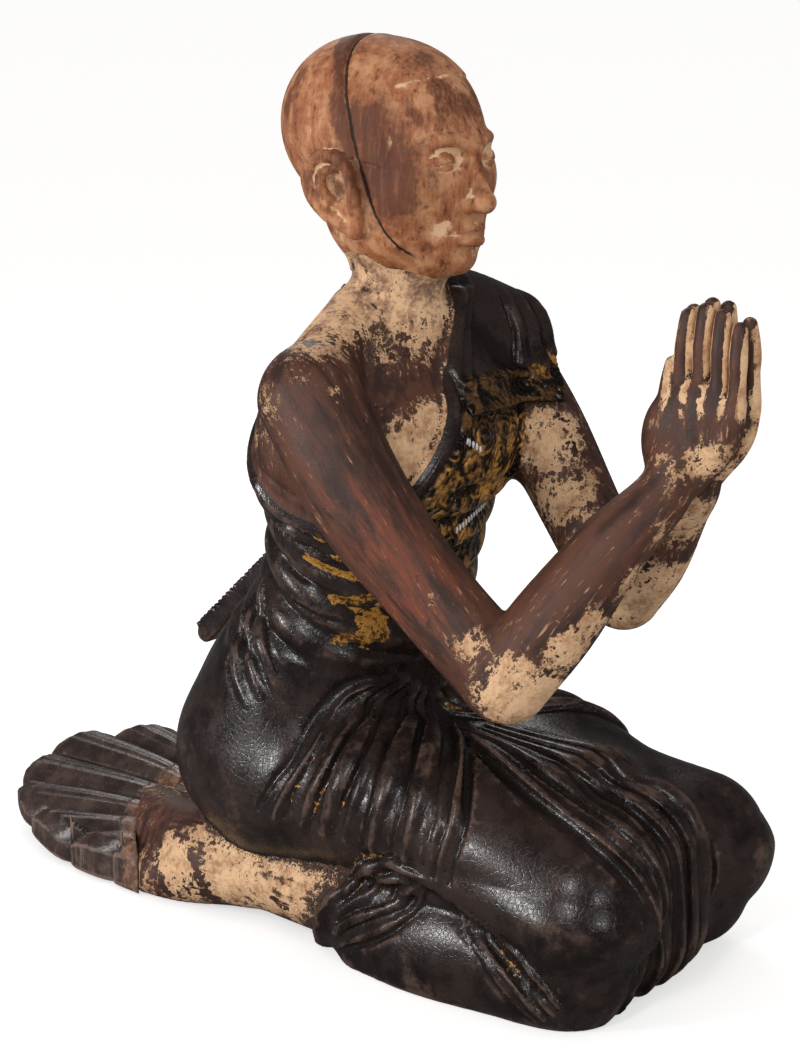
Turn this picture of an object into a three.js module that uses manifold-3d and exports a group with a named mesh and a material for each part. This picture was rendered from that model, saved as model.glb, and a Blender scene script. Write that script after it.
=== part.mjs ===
// A kneeling monk carved in wood, hands raised palm to palm, with a pleated hem fan behind the feet.
// Millimetres. X runs to the figure's left, Y to its back and Z up.
import * as THREE from "three";
import Module from "manifold-3d";

const wasm = await Module();
wasm.setup();

// Driving dimensions
const cell = { body: 4, face: 2.5 }; // spacing of the grid that the forms are worked out on
const fine = { x: [-45, 45], y: [-84, -48], z: [534, 724] }; // where the face's closer spacing runs
const faces = { figure: 8400, fan: 1300 }; // triangles that each piece is reduced to
const head = { top: 720, height: 180, halfWidth: 66, halfLength: 87, y: 16 };
const ear = { y: 7, z: 605, size: 0.88, lean: -22, flare: 17 };
const neck = { y: 4, radius: 44, bottom: 495 };
const shoulders = [
  { side: -1, at: [130, -13, 456], girth: 40, slim: 4 }, // slim draws in the crook of the more bent arm
  { side: 1, at: [120, -9, 456], girth: 38, slim: 0 },
];
const elbows = [
  { at: [108, -178, 264], radius: 33 },
  { at: [84, -158, 286], radius: 30.5 },
];
const wrists = [[24, -266, 410], [18, -262, 408]];
const wristRadius = 20;
const knuckles = 462; // height of the roots of the fingers
const hands = [
  { side: -1, middle: -278, fingers: [-266, -281, -296, -311], tips: [536, 541, 538, 530] },
  { side: 1, middle: -276, fingers: [-262, -278, -292, -311], tips: [537, 543, 542, 532] },
];
const fingerRadii = [7, 7, 6.8, 6.6];
const hip = { x: 58, y: 62, z: 118, radius: 72 };
const knee = { x: 82, y: -234, z: 95, radius: 57 };
const shin = { x: 80, radius: 40, ankleY: 160 };
// The left thigh stands lower than the right, most at the knee, and its knee is rounder below
const legs = [
  { side: -1, lift: 6, lower: 0, heel: [41, 51] },
  { side: 1, lift: 1, lower: 13, heel: [56, 53] },
];
const robe = { thickness: 6, edgeZ: 490, edgeSlope: 1.45, edgeBack: 0.1, flapBottom: 434 };
const skirt = { hemY: 13, hemRun: 0.81, hemThickness: 8 };
const sash = { x: 60, halfWidth: 44, thickness: 17 };
const split = { middleY: 262, sideY: 200, halfWidth: 112, gap: 0.6 }; // where the hem joins the feet
const fan = { centreY: 60, spread: 27, lobes: 6, halfWidth: 122, wideY: 230, length: 198, top: 52, bottom: 17 };
const far = 1000; // value of the clay field where nothing has been added yet
const skinDepth = 14; // how far round each form its distance is worked out

// Small vector and number helpers
const clamp = (v, low, high) => Math.min(high, Math.max(low, v));
const mix = (a, b, t) => a + (b - a) * t;
const ease = (low, high, v) => {
  const t = clamp((v - low) / (high - low), 0, 1);
  return t * t * (3 - 2 * t);
};
const bump = (v, centre, width) => Math.exp(-(((v - centre) / width) ** 2));
const softMin = (a, b, k) => {
  const h = Math.max(k - Math.abs(a - b), 0) / Math.max(k, 1e-6);
  return Math.min(a, b) - (h * h * k) / 4;
};
const softMax = (a, b, k) => -softMin(-a, -b, k);
const mirror = (side, [x, y, z]) => [side * x, y, z];

// Forms. Each one is a box that holds it and a distance from its surface, negative inside.
function boxAround(points, reach) {
  const box = new THREE.Box3();
  for (const [x, y, z] of points) box.expandByPoint(new THREE.Vector3(x, y, z));
  return box.expandByScalar(reach);
}

// A ball stretched to three half sizes, turned about its centre by a rotation in degrees
function ball(centre, sizes, turn = [0, 0, 0]) {
  const [cx, cy, cz] = centre;
  const [rx, ry, rz] = sizes;
  const angles = turn.map(THREE.MathUtils.degToRad);
  const back = new THREE.Matrix4().makeRotationFromEuler(new THREE.Euler(...angles)).invert();
  const m = back.elements;
  const distance = (x, y, z) => {
    const [dx, dy, dz] = [x - cx, y - cy, z - cz];
    const px = (m[0] * dx + m[4] * dy + m[8] * dz) / rx;
    const py = (m[1] * dx + m[5] * dy + m[9] * dz) / ry;
    const pz = (m[2] * dx + m[6] * dy + m[10] * dz) / rz;
    const k0 = Math.hypot(px, py, pz);
    const k1 = Math.hypot(px / rx, py / ry, pz / rz);
    return k1 < 1e-9 ? -Math.min(rx, ry, rz) : (k0 * (k0 - 1)) / k1;
  };
  return { box: boxAround([centre], Math.max(...sizes)), distance };
}

// A limb through points [x, y, z, radius], rounded at both ends and smooth along its length
function limb(stations, steps = 6) {
  const curve = new THREE.CatmullRomCurve3(
    stations.map(([x, y, z]) => new THREE.Vector3(x, y, z)),
    false,
    "centripetal",
  );
  const count = (stations.length - 1) * steps;
  const rings = [];
  for (let i = 0; i <= count; i++) {
    const at = (i / count) * (stations.length - 1);
    const k = Math.min(Math.floor(at), stations.length - 2);
    const p = curve.getPoint(i / count);
    const t = ease(0, 1, at - k) * 0.5 + (at - k) * 0.5;
    rings.push([p.x, p.y, p.z, mix(stations[k][3], stations[k + 1][3], t)]);
  }
  const distance = (x, y, z) => {
    let best = far;
    for (let i = 0; i < count; i++) {
      const [ax, ay, az, ar] = rings[i];
      const [bx, by, bz, br] = rings[i + 1];
      const [ux, uy, uz] = [bx - ax, by - ay, bz - az];
      const length = ux * ux + uy * uy + uz * uz;
      const t = clamp(((x - ax) * ux + (y - ay) * uy + (z - az) * uz) / length, 0, 1);
      const d = Math.hypot(x - ax - ux * t, y - ay - uy * t, z - az - uz * t) - mix(ar, br, t);
      if (d < best) best = d;
    }
    return best;
  };
  return { box: boxAround(stations, Math.max(...stations.map((s) => s[3]))), distance };
}

// A body with oval level sections [z, centre x, centre y, half width, half depth]
function column(sections) {
  const [low, high] = [sections[0][0], sections.at(-1)[0]];
  const at = (z, k) => {
    let i = 1;
    while (i < sections.length - 1 && z > sections[i][0]) i++;
    const [a, b] = [sections[i - 1], sections[i]];
    const before = sections[Math.max(i - 2, 0)];
    const after = sections[Math.min(i + 1, sections.length - 1)];
    const span = b[0] - a[0];
    const t = clamp((z - a[0]) / span, 0, 1);
    const slopeA = ((b[k] - before[k]) / (b[0] - before[0])) * span;
    const slopeB = ((after[k] - a[k]) / (after[0] - a[0])) * span;
    const [t2, t3] = [t * t, t * t * t];
    return (
      (2 * t3 - 3 * t2 + 1) * a[k] + (t3 - 2 * t2 + t) * slopeA + (3 * t2 - 2 * t3) * b[k] + (t3 - t2) * slopeB
    );
  };
  const distance = (x, y, z) => {
    const level = clamp(z, low, high);
    const [rx, ry] = [at(level, 3), at(level, 4)];
    const [px, py] = [(x - at(level, 1)) / rx, (y - at(level, 2)) / ry];
    const k0 = Math.hypot(px, py);
    const k1 = Math.hypot(px / rx, py / ry);
    const side = k1 < 1e-9 ? -Math.min(rx, ry) : (k0 * (k0 - 1)) / k1;
    return softMax(side, Math.max(low - z, z - high), 12);
  };
  const wide = Math.max(...sections.map((s) => Math.max(s[3], s[4])));
  const ends = sections.map((s) => [s[1], s[2], s[0]]);
  return { box: boxAround(ends, wide), distance };
}

// A flat board with rounded edges: centre, half sizes, rounding and a rotation in degrees
function board(centre, sizes, round, turn = [0, 0, 0]) {
  const [cx, cy, cz] = centre;
  const angles = turn.map(THREE.MathUtils.degToRad);
  const m = new THREE.Matrix4().makeRotationFromEuler(new THREE.Euler(...angles)).invert().elements;
  const distance = (x, y, z) => {
    const [dx, dy, dz] = [x - cx, y - cy, z - cz];
    const px = Math.abs(m[0] * dx + m[4] * dy + m[8] * dz) - sizes[0] + round;
    const py = Math.abs(m[1] * dx + m[5] * dy + m[9] * dz) - sizes[1] + round;
    const pz = Math.abs(m[2] * dx + m[6] * dy + m[10] * dz) - sizes[2] + round;
    const outside = Math.hypot(Math.max(px, 0), Math.max(py, 0), Math.max(pz, 0));
    return outside + Math.min(Math.max(px, py, pz), 0) - round;
  };
  return { box: boxAround([centre], Math.hypot(...sizes)), distance };
}

// The corners of a grid cell
const corners = [0, 1, 2, 3, 4, 5, 6, 7].map((c) => [c & 1, (c >> 1) & 1, c >> 2]);

// The places of a grid's planes along one axis, closer together over the fine stretch
function planes(low, high, [from, to]) {
  const places = [low];
  while (places.at(-1) < high) {
    const last = places.at(-1);
    places.push(last + (last >= from - cell.body && last < to ? cell.face : cell.body));
  }
  return places;
}

// A grid of distances that forms are added to, cut from and swelled on
class Clay {
  constructor(low, high) {
    this.places = ["x", "y", "z"].map((axis, i) => planes(low[i], high[i], fine[axis]));
    this.size = this.places.map((list) => list.length);
    this.value = new Float32Array(this.size[0] * this.size[1] * this.size[2]).fill(far);
  }

  each(box, change) {
    const [nx, ny] = this.size;
    const [xs, ys, zs] = this.places;
    const [low, high] = [box.min.toArray(), box.max.toArray()];
    const from = this.places.map((list, axis) => list.findIndex((v) => v >= low[axis]));
    const to = this.places.map((list, axis) => list.findLastIndex((v) => v <= high[axis]));
    if (from.includes(-1) || to.includes(-1)) return;
    for (let k = from[2]; k <= to[2]; k++)
      for (let j = from[1]; j <= to[1]; j++)
        for (let i = from[0]; i <= to[0]; i++) {
          const n = i + nx * (j + ny * k);
          this.value[n] = change(this.value[n], xs[i], ys[j], zs[k]);
        }
  }

  add(form, blend = 0) {
    const box = form.box.clone().expandByScalar(blend + skinDepth);
    this.each(box, (old, x, y, z) => softMin(old, form.distance(x, y, z), blend));
    return this;
  }

  carve(form, blend = 0) {
    const box = form.box.clone().expandByScalar(blend + cell.body);
    this.each(box, (old, x, y, z) => softMax(old, -form.distance(x, y, z), blend));
    return this;
  }

  swell(low, high, amount) {
    const box = new THREE.Box3(new THREE.Vector3(...low), new THREE.Vector3(...high));
    this.each(box, (old, x, y, z) => (Math.abs(old) < 3 * skinDepth ? old - amount(x, y, z) : old));
    return this;
  }

  // The distance at any point, straight between the eight corners of its cell
  at(point) {
    const [nx, ny] = this.size;
    const cellOf = this.places.map((list, axis) => {
      const next = list.findIndex((v) => v > point[axis]);
      return clamp(next - 1, 0, list.length - 2);
    });
    const share = cellOf.map((c, axis) => {
      const list = this.places[axis];
      return clamp((point[axis] - list[c]) / (list[c + 1] - list[c]), 0, 1);
    });
    let sum = 0;
    for (const [i, j, k] of corners) {
      const weight = [i, j, k].reduce((total, bit, axis) => total * (bit ? share[axis] : 1 - share[axis]), 1);
      sum += weight * this.value[cellOf[0] + i + nx * (cellOf[1] + j + ny * (cellOf[2] + k))];
    }
    return sum;
  }

  // The direction out of the surface
  outward(p) {
    const slope = [0, 1, 2].map((axis) => {
      const step = p.map((v, i) => (i === axis ? v + 4 : v));
      const back = p.map((v, i) => (i === axis ? v - 4 : v));
      return this.at(step) - this.at(back);
    });
    const steep = Math.max(Math.hypot(...slope), 1e-6);
    return slope.map((v) => v / steep);
  }

  // The nearest point of the surface, found by stepping along the slope of the distances
  settle(point) {
    let p = point;
    for (let round = 0; round < 6; round++) {
      const here = this.at(p);
      const slope = [0, 1, 2].map((axis) => {
        const step = p.map((v, i) => (i === axis ? v + 3 : v));
        const back = p.map((v, i) => (i === axis ? v - 3 : v));
        return (this.at(step) - this.at(back)) / 6;
      });
      const steep = Math.max(Math.hypot(...slope), 0.3);
      p = p.map((v, axis) => v - (clamp(here, -20, 20) * slope[axis]) / steep ** 2);
    }
    return p;
  }
}

// Reading the surface of the clay
const cellEdges = [];
for (let a = 0; a < 8; a++) for (const bit of [1, 2, 4]) if (!(a & bit)) cellEdges.push([a, a | bit]);

// The four corners of each of a cell's six sides, in the order a, its two neighbours, and the one across
const cellSides = [];
for (const [u, v, w] of [[1, 2, 4], [2, 4, 1], [4, 1, 2]])
  for (const base of [0, w]) cellSides.push([base, base | u, base | v, base | u | v]);

// For each of the 256 sign patterns of a cell, whether one plain sheet passes through it
const plainPattern = Array.from({ length: 256 }, (_, pattern) => {
  const inside = (c) => (pattern >> c) & 1;
  const crossed = ([a, b, c, d]) =>
    inside(a) === inside(d) && inside(b) === inside(c) && inside(a) !== inside(b);
  if (cellSides.some(crossed)) return false;
  const group = corners.map((_, c) => c);
  for (let pass = 0; pass < 8; pass++)
    for (const [a, b] of cellEdges)
      if (inside(a) === inside(b)) group[a] = group[b] = Math.min(group[a], group[b]);
  return new Set(group).size <= 2;
});

function surfaceOf(clay) {
  const [nx, ny, nz] = clay.size;
  const value = clay.value;
  const step = corners.map(([i, j, k]) => i + nx * (j + ny * k));
  const patternAt = (n) => step.reduce((sum, s, c) => sum | (value[n + s] < 0 ? 1 << c : 0), 0);
  const everyCell = (visit) => {
    for (let k = 0; k < nz - 1; k++)
      for (let j = 0; j < ny - 1; j++) for (let i = 0; i < nx - 1; i++) visit(i + nx * (j + ny * k), i, j, k);
  };
  // Close the surface where a form reaches past the grid
  for (let n = 0; n < value.length; n++) {
    const [i, j, k] = [n % nx, Math.floor(n / nx) % ny, Math.floor(n / (nx * ny))];
    if (!i || !j || !k || i === nx - 1 || j === ny - 1 || k === nz - 1) value[n] = Math.max(value[n], 1);
  }
  // Fill the corner nearest the surface wherever two sheets would pass through one cell
  for (let filled = 1; filled; ) {
    filled = 0;
    everyCell((n) => {
      if (plainPattern[patternAt(n)]) return;
      const outside = step.filter((s) => value[n + s] >= 0);
      const nearest = outside.reduce((a, b) => (value[n + a] < value[n + b] ? a : b));
      value[n + nearest] = -0.01;
      filled++;
    });
  }
  const index = new Map();
  const points = [];
  everyCell((n, i, j, k) => {
    const pattern = patternAt(n);
    if (pattern === 0 || pattern === 255) return;
    const sum = [0, 0, 0];
    let crossings = 0;
    for (const [a, b] of cellEdges) {
      const [va, vb] = [value[n + step[a]], value[n + step[b]]];
      if (va < 0 === vb < 0) continue;
      const t = va / (va - vb);
      for (let axis = 0; axis < 3; axis++) sum[axis] += mix(corners[a][axis], corners[b][axis], t);
      crossings++;
    }
    index.set(n, points.length);
    points.push(
      [i, j, k].map((c, axis) => {
        const list = clay.places[axis];
        return mix(list[c], list[c + 1], sum[axis] / crossings);
      }),
    );
  });
  const triangles = [];
  const stride = [1, nx, nx * ny];
  everyCell((n, i, j, k) => {
    const place = [i, j, k];
    for (let axis = 0; axis < 3; axis++) {
      const [u, v] = [(axis + 1) % 3, (axis + 2) % 3];
      if (value[n] < 0 === value[n + stride[axis]] < 0 || !place[u] || !place[v]) continue;
      const around = [n - stride[u] - stride[v], n - stride[v], n, n - stride[u]];
      const quad = around.map((c) => index.get(c));
      if (value[n] >= 0) quad.reverse();
      triangles.push([quad[0], quad[1], quad[2]], [quad[0], quad[2], quad[3]]);
    }
  });
  return { points, triangles };
}

// Merges the edges that matter least until a mesh has few enough triangles.
// The cost of a merge is its squared distance from the planes it replaces, times care at that place.
function reduce({ points, triangles }, wanted, care) {
  const quadric = points.map(() => new Float64Array(10));
  const facesOf = points.map(() => new Set());
  const version = new Int32Array(points.length);
  const normalOf = (a, b, c) => {
    const [ux, uy, uz] = [b[0] - a[0], b[1] - a[1], b[2] - a[2]];
    const [vx, vy, vz] = [c[0] - a[0], c[1] - a[1], c[2] - a[2]];
    return [uy * vz - uz * vy, uz * vx - ux * vz, ux * vy - uy * vx];
  };
  triangles.forEach((t, f) => {
    const [a, b, c] = t.map((v) => points[v]);
    const n = normalOf(a, b, c);
    const area = Math.hypot(...n) || 1e-9;
    const [nx, ny, nz] = n.map((v) => v / area);
    const d = -(nx * a[0] + ny * a[1] + nz * a[2]);
    const plane = [nx * nx, nx * ny, nx * nz, nx * d, ny * ny, ny * nz, ny * d, nz * nz, nz * d, d * d];
    for (const v of t) {
      facesOf[v].add(f);
      plane.forEach((q, i) => (quadric[v][i] += (q * area) / 2));
    }
  });
  const costAt = (q, [x, y, z]) =>
    q[0] * x * x + 2 * q[1] * x * y + 2 * q[2] * x * z + 2 * q[3] * x + q[4] * y * y + 2 * q[5] * y * z +
    2 * q[6] * y + q[7] * z * z + 2 * q[8] * z + q[9];
  const bestPlace = (q, a, b) => {
    const middle = a.map((v, i) => (v + b[i]) / 2);
    const e = new THREE.Matrix3(q[0], q[1], q[2], q[1], q[4], q[5], q[2], q[5], q[7]);
    const spread = (q[0] + q[4] + q[7]) * 4e-3;
    const held = new THREE.Matrix3().copy(e);
    for (const i of [0, 4, 8]) held.elements[i] += spread;
    const wantedPoint = new THREE.Vector3(
      spread * middle[0] - q[3],
      spread * middle[1] - q[6],
      spread * middle[2] - q[8],
    );
    const p = wantedPoint.applyMatrix3(held.invert()).toArray();
    const length = Math.hypot(...a.map((v, i) => v - b[i]));
    const away = Math.hypot(...p.map((v, i) => v - middle[i]));
    return away < length ? p : middle;
  };
  const heap = [];
  const lift = (i) => {
    for (let up = (i - 1) >> 1; i > 0 && heap[up][0] > heap[i][0]; i = up, up = (i - 1) >> 1)
      [heap[up], heap[i]] = [heap[i], heap[up]];
  };
  const takeLeast = () => {
    const least = heap[0];
    const last = heap.pop();
    if (heap.length) {
      heap[0] = last;
      for (let i = 0; ; ) {
        let down = 2 * i + 1;
        if (down + 1 < heap.length && heap[down + 1][0] < heap[down][0]) down++;
        if (down >= heap.length || heap[down][0] >= heap[i][0]) break;
        [heap[down], heap[i]] = [heap[i], heap[down]];
        i = down;
      }
    }
    return least;
  };
  const offer = (a, b) => {
    const q = quadric[a].map((v, i) => v + quadric[b][i]);
    const place = bestPlace(q, points[a], points[b]);
    const length = Math.hypot(...points[a].map((v, i) => v - points[b][i]));
    const cost = (Math.max(costAt(q, place), 0) + 1e-4 * length ** 3) * care(...place);
    heap.push([cost, a, b, version[a], version[b], place]);
    lift(heap.length - 1);
  };
  const neighbours = (v) => {
    const found = new Set();
    for (const f of facesOf[v]) for (const w of triangles[f]) found.add(w);
    found.delete(v);
    return found;
  };
  triangles.forEach(([a, b, c]) => {
    if (a < b) offer(a, b);
    if (b < c) offer(b, c);
    if (c < a) offer(c, a);
  });
  const turnsOver = (v, other, place) => {
    for (const f of facesOf[v]) {
      const t = triangles[f];
      if (t.includes(other)) continue;
      const before = normalOf(...t.map((w) => points[w]));
      const after = normalOf(...t.map((w) => (w === v ? place : points[w])));
      const dot = before[0] * after[0] + before[1] * after[1] + before[2] * after[2];
      if (dot < 0.25 * Math.hypot(...before) * Math.hypot(...after)) return true;
    }
    return false;
  };
  let left = triangles.length;
  while (left > wanted && heap.length) {
    const [, a, b, versionA, versionB, place] = takeLeast();
    if (version[a] !== versionA || version[b] !== versionB) continue;
    const around = neighbours(b);
    const shared = [...neighbours(a)].filter((v) => around.has(v));
    if (shared.length !== 2 || turnsOver(a, b, place) || turnsOver(b, a, place)) continue;
    for (const f of [...facesOf[b]]) {
      if (triangles[f].includes(a)) {
        for (const v of triangles[f]) facesOf[v].delete(f);
        triangles[f] = null;
        left--;
      } else {
        triangles[f] = triangles[f].map((v) => (v === b ? a : v));
        facesOf[a].add(f);
      }
    }
    points[a] = place;
    quadric[b].forEach((v, i) => (quadric[a][i] += v));
    version[a]++;
    version[b] = -1;
    for (const v of neighbours(a)) offer(a, v);
  }
  return { points, triangles: triangles.filter(Boolean) };
}

// Between meshes, geometries and solids
function solidFrom({ points, triangles }) {
  const used = new Map();
  const vertices = [];
  const triVerts = new Uint32Array(
    triangles.flat().map((v) => {
      if (!used.has(v)) {
        used.set(v, used.size);
        vertices.push(...points[v]);
      }
      return used.get(v);
    }),
  );
  const mesh = new wasm.Mesh({ numProp: 3, vertProperties: new Float32Array(vertices), triVerts });
  return new wasm.Manifold(mesh);
}

function solidFromGeometry(geometry) {
  const position = geometry.getAttribute("position");
  const places = new Map();
  const points = [];
  const at = [...Array(position.count).keys()].map((i) => {
    const p = [position.getX(i), position.getY(i), position.getZ(i)];
    const key = p.map((v) => Math.round(v * 1000)).join();
    if (!places.has(key)) {
      places.set(key, points.length);
      points.push(p);
    }
    return places.get(key);
  });
  const triangles = [];
  const count = geometry.index ? geometry.index.count : position.count;
  for (let i = 0; i < count; i += 3)
    triangles.push([0, 1, 2].map((k) => at[geometry.index ? geometry.index.getX(i + k) : i + k]));
  return solidFrom({ points, triangles });
}

function geometryFrom(solid) {
  const mesh = solid.getMesh();
  const position = new Float32Array(mesh.numVert * 3);
  for (let i = 0; i < mesh.numVert; i++)
    position.set(mesh.vertProperties.subarray(i * mesh.numProp, i * mesh.numProp + 3), i * 3);
  const geometry = new THREE.BufferGeometry();
  geometry.setAttribute("position", new THREE.BufferAttribute(position, 3));
  geometry.setIndex(new THREE.BufferAttribute(mesh.triVerts, 1));
  geometry.computeVertexNormals();
  return geometry;
}

// The floor cuts every piece flat at Z = 0
const belowFloor = solidFromGeometry(new THREE.BoxGeometry(1200, 1200, 200).translate(0, 0, -100));

function pieceFrom(clay, triangleCount, care) {
  const solid = solidFrom(reduce(surfaceOf(clay), triangleCount, care)).subtract(belowFloor);
  const bodies = solid.decompose().sort((a, b) => b.volume() - a.volume());
  return bodies[0];
}

// A flat band that follows points [y, z] at one x, as wide as twice its half width
function band(points, x, halfWidth, thickness) {
  const distance = (px, py, pz) => {
    let best = far;
    for (let i = 1; i < points.length; i++) {
      const [[ay, az], [by, bz]] = [points[i - 1], points[i]];
      const [uy, uz] = [by - ay, bz - az];
      const t = clamp(((py - ay) * uy + (pz - az) * uz) / (uy * uy + uz * uz), 0, 1);
      best = Math.min(best, Math.hypot(py - ay - uy * t, pz - az - uz * t));
    }
    return softMax(best - thickness / 2, Math.abs(px - x) - halfWidth, 4);
  };
  return { box: boxAround(points.map(([y, z]) => [x, y, z]), halfWidth + thickness), distance };
}

// Carved folds. Each runs over the surface through one point of every row, and the rows hold the first
// and the last fold of the bundle; a fold swells from its ends to its full radius.
function folds(clay, rows, { count, radius, sink = 0.45, blend = 2.5, steps = 4 }) {
  const tubes = [];
  for (let i = 0; i < count; i++) {
    const t = count === 1 ? 0.5 : i / (count - 1);
    const through = rows.map(([a, b]) => new THREE.Vector3(...a.map((v, axis) => mix(v, b[axis], t))));
    const curve = new THREE.CatmullRomCurve3(through, false, "centripetal");
    const total = (rows.length - 1) * steps;
    const stations = [];
    for (let k = 0; k <= total; k++) {
      const along = k / total;
      const full = radius * (0.45 + 0.55 * Math.sin(Math.PI * Math.min(0.5, along * 1.6 + 0.08)));
      const place = clay.settle(curve.getPoint(along).toArray());
      const out = clay.outward(place);
      stations.push([...place.map((v, axis) => v - out[axis] * full * sink), full]);
    }
    tubes.push(limb(stations, 1));
  }
  for (const tube of tubes) clay.add(tube, blend);
}

// Torso, hips and neck
function shapeTorso(clay) {
  clay.add(
    column([
      [66, 0, 74, 104, 82],
      [95, 0, 74, 118, 94],
      [130, 0, 73, 122, 97],
      [170, 0, 72, 118, 100],
      [210, 0, 70, 110, 97],
      [250, 0, 52, 99, 88],
      [290, 0, 34, 92, 76],
      [330, 0, 24, 96, 75],
      [370, 0, 17, 107, 77],
      [405, 0, 12, 112, 75],
      [440, 0, 9, 108, 66],
      [470, 0, 8, 86, 54],
      [492, 0, 6, 58, 45],
      [512, 0, 4, 43, 40],
    ]),
  );
  clay.add(limb([[-32, 20, 507, 23], [-82, 6, 485, 26], [-114, -4, 464, 32]]), 20);
  clay.add(limb([[32, 4, 511, 23], [76, -4, 496, 26], [114, -10, 471, 35]]), 20);
  for (const side of [-1, 1]) {
    clay.add(ball([side * 48, -50, 408], [42, 14, 32], [0, 0, side * 14]), 26);
    clay.add(ball([side * 81, 34, 414], [41, 38, 54]), 24);
    clay.add(ball([side * 56, 114, 130], [66, 64, 66]), 24);
  }
  clay.carve(limb([[-12, -50, 484, 4], [-50, -40, 486, 5], [-92, -36, 484, 4]]), 8);
}

// How far a point lies below the robe's upper edge, a plane slanting from the left shoulder to the right armpit
const belowEdge = (x, y, z) =>
  (robe.edgeZ + robe.edgeSlope * x + robe.edgeBack * y - z) / Math.hypot(1, robe.edgeSlope, robe.edgeBack);

// The robe round the torso, with a rolled upper edge and wraps that sink towards the front
function dressTorso(clay) {
  clay.swell([-150, -130, 110], [150, 190, 534], (x, y, z) => {
    const under = belowEdge(x, y, z);
    const rolled = 3.4 * bump(under, 5, 4.5) + 3 * bump(under, 18, 4.5);
    const wrap = Math.abs(Math.sin((Math.PI * (z - 0.62 * y)) / 32));
    const wrapped = ease(225, 245, z) * ease(20, 45, under) * ease(390, 350, z);
    return (robe.thickness * ease(-2, 2, under) + rolled) * ease(120, 190, z) + 6 * wrapped * (wrap - 0.6);
  });
}

function shapeNeck(clay) {
  clay.add(limb([[0, 8, neck.bottom, neck.radius], [0, neck.y, 536, 36], [0, 8, 580, 36]]), 12);
}

// The folded end of the robe, from the left shoulder down the back and out behind the waist
function hangSash(clay) {
  clay.add(
    band([[34, 494], [80, 446], [99, 390], [108, 330], [125, 299], [159, 270], [236, 194]],
      sash.x, sash.halfWidth, sash.thickness),
    5,
  );
}

// Arms, with the forearms drawn together to the raised hands
function shapeArms(clay) {
  shoulders.forEach(({ side, at, girth, slim }, i) => {
    const place = (x, y, z, r) => [side * x, y, z, r];
    const { at: elbow, radius } = elbows[i];
    const [ex, ey, ez] = elbow;
    const [wx, wy, wz] = wrists[i];
    const along = (t, lift, more) => {
      const [x, y, z] = at.map((v, axis) => mix(v, elbow[axis], t));
      return place(x + 5 * (1 - t), y, z + lift, mix(girth, radius, t) + more);
    };
    const upper = [place(...at, girth), along(0.34, 4, 1.5), along(0.68, 2 - slim, -slim / 2)];
    clay.add(limb([...upper, place(...elbow, radius)]), 16);
    clay.add(
      limb([
        place(ex, ey - 4, ez - 2, radius - 1),
        place(mix(ex, wx, 0.24), mix(ey, wy, 0.34), mix(ez, wz, 0.3) - 2, radius * 1.1 - 3.5),
        place(mix(ex, wx, 0.62), mix(ey, wy, 0.72), mix(ez, wz, 0.7), radius * 0.79),
        place(wx + 3, wy + 3, wz - 8, wristRadius + 1),
        place(wx - 6, wy - 2, wz + 16, wristRadius - 1),
      ]),
      5,
    );
  });
}

// Hands pressed together: a palm with its outer edge, four fingers and a thumb on each side
function shapeHands(clay) {
  for (const { side, middle, fingers, tips } of hands) {
    const last = fingers.at(-1);
    clay.add(ball([side * 12, middle, 450], [14, 36, 37]), 10);
    clay.add(ball([side * 15, middle + 22, 436], [12, 20, 30]), 10);
    const edge = [[9, last, knuckles + 8, 7], [11, last + 4, 450, 9], [12, last + 16, 431, 11], [13, last + 34, 412, 13]];
    clay.add(limb(edge.map(([x, ...rest]) => [side * x, ...rest])), 6);
    fingers.forEach((y, i) => {
      const [tip, r] = [tips[i], fingerRadii[i]];
      const lean = (middle - 12 - y) * 0.05;
      const root = [side * 11, y, knuckles - 14, r + 0.4];
      const half = [side * 10.5, y, (tip + knuckles) / 2, r];
      clay.add(limb([root, half, [side * 7, y + lean, tip - 7, r - 0.8]], 4), 1);
    });
    const thumb = [[side * 17, middle + 24, 430, 12], [side * 15, middle + 24, 460, 8]];
    clay.add(limb([...thumb, [side * 12, middle + 20, 494, 5.8]], 4), 3);
  }
}

// Head and ears. The face is a plain one on even thirds: brow, nose and mouth share out its height.
function shapeHead(clay) {
  const { top, height, halfWidth, halfLength, y } = head;
  const chin = top - height;
  const front = y - halfLength;
  const eyeLine = chin + height * 0.5;
  const noseLine = chin + height * 0.31;
  const mouthLine = chin + height * 0.205;
  clay.add(ball([0, y + 1, top - 70], [halfWidth - 1, halfLength - 4, 70]), 12);
  clay.add(ball([0, y + 27, top - 62], [halfWidth - 9, 56, 58]), 16);
  clay.add(ball([0, y - 9, top - 102], [halfWidth - 9, 57, 70]), 16);
  clay.add(ball([0, y - 22, top - 98], [halfWidth - 10, 65, 68]), 12);
  clay.add(ball([0, y - 27, chin + 60], [52, 56, 60]), 26);
  clay.add(ball([0, y - 55, chin + 21], [25, 22, 19]), 20);
  for (const side of [-1, 1]) {
    clay.add(ball([side * 34, front + 38, chin + 64], [22, 25, 26]), 16);
    clay.carve(ball([side * 26, front + 4, eyeLine + 2], [19, 12, 9]), 12);
    clay.add(ball([side * 26, front + 20, eyeLine], [14, 10, 7]), 3);
    const brow = [[side * 9, front + 7, eyeLine + 15, 4], [side * 27, front + 12, eyeLine + 20, 4]];
    clay.add(limb([...brow, [side * 44, front + 25, eyeLine + 13, 3]], 4), 9);
    clay.add(ball([side * 9, front + 3, noseLine + 4], [6, 7, 6]), 5);
  }
  const bridge = [[0, front + 9, eyeLine + 11, 6], [0, front + 2, noseLine + 20, 6.5]];
  clay.add(limb([...bridge, [0, front - 3, noseLine + 7, 8]], 4), 8);
  clay.add(ball([0, front + 11, mouthLine + 5], [18, 7, 5]), 5);
  clay.add(ball([0, front + 13, mouthLine - 6], [14, 7, 5.5]), 5);
  clay.carve(ball([0, front + 4, mouthLine - 0.5], [16, 4, 2]), 3);
  shapeEars(clay);
}

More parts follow.
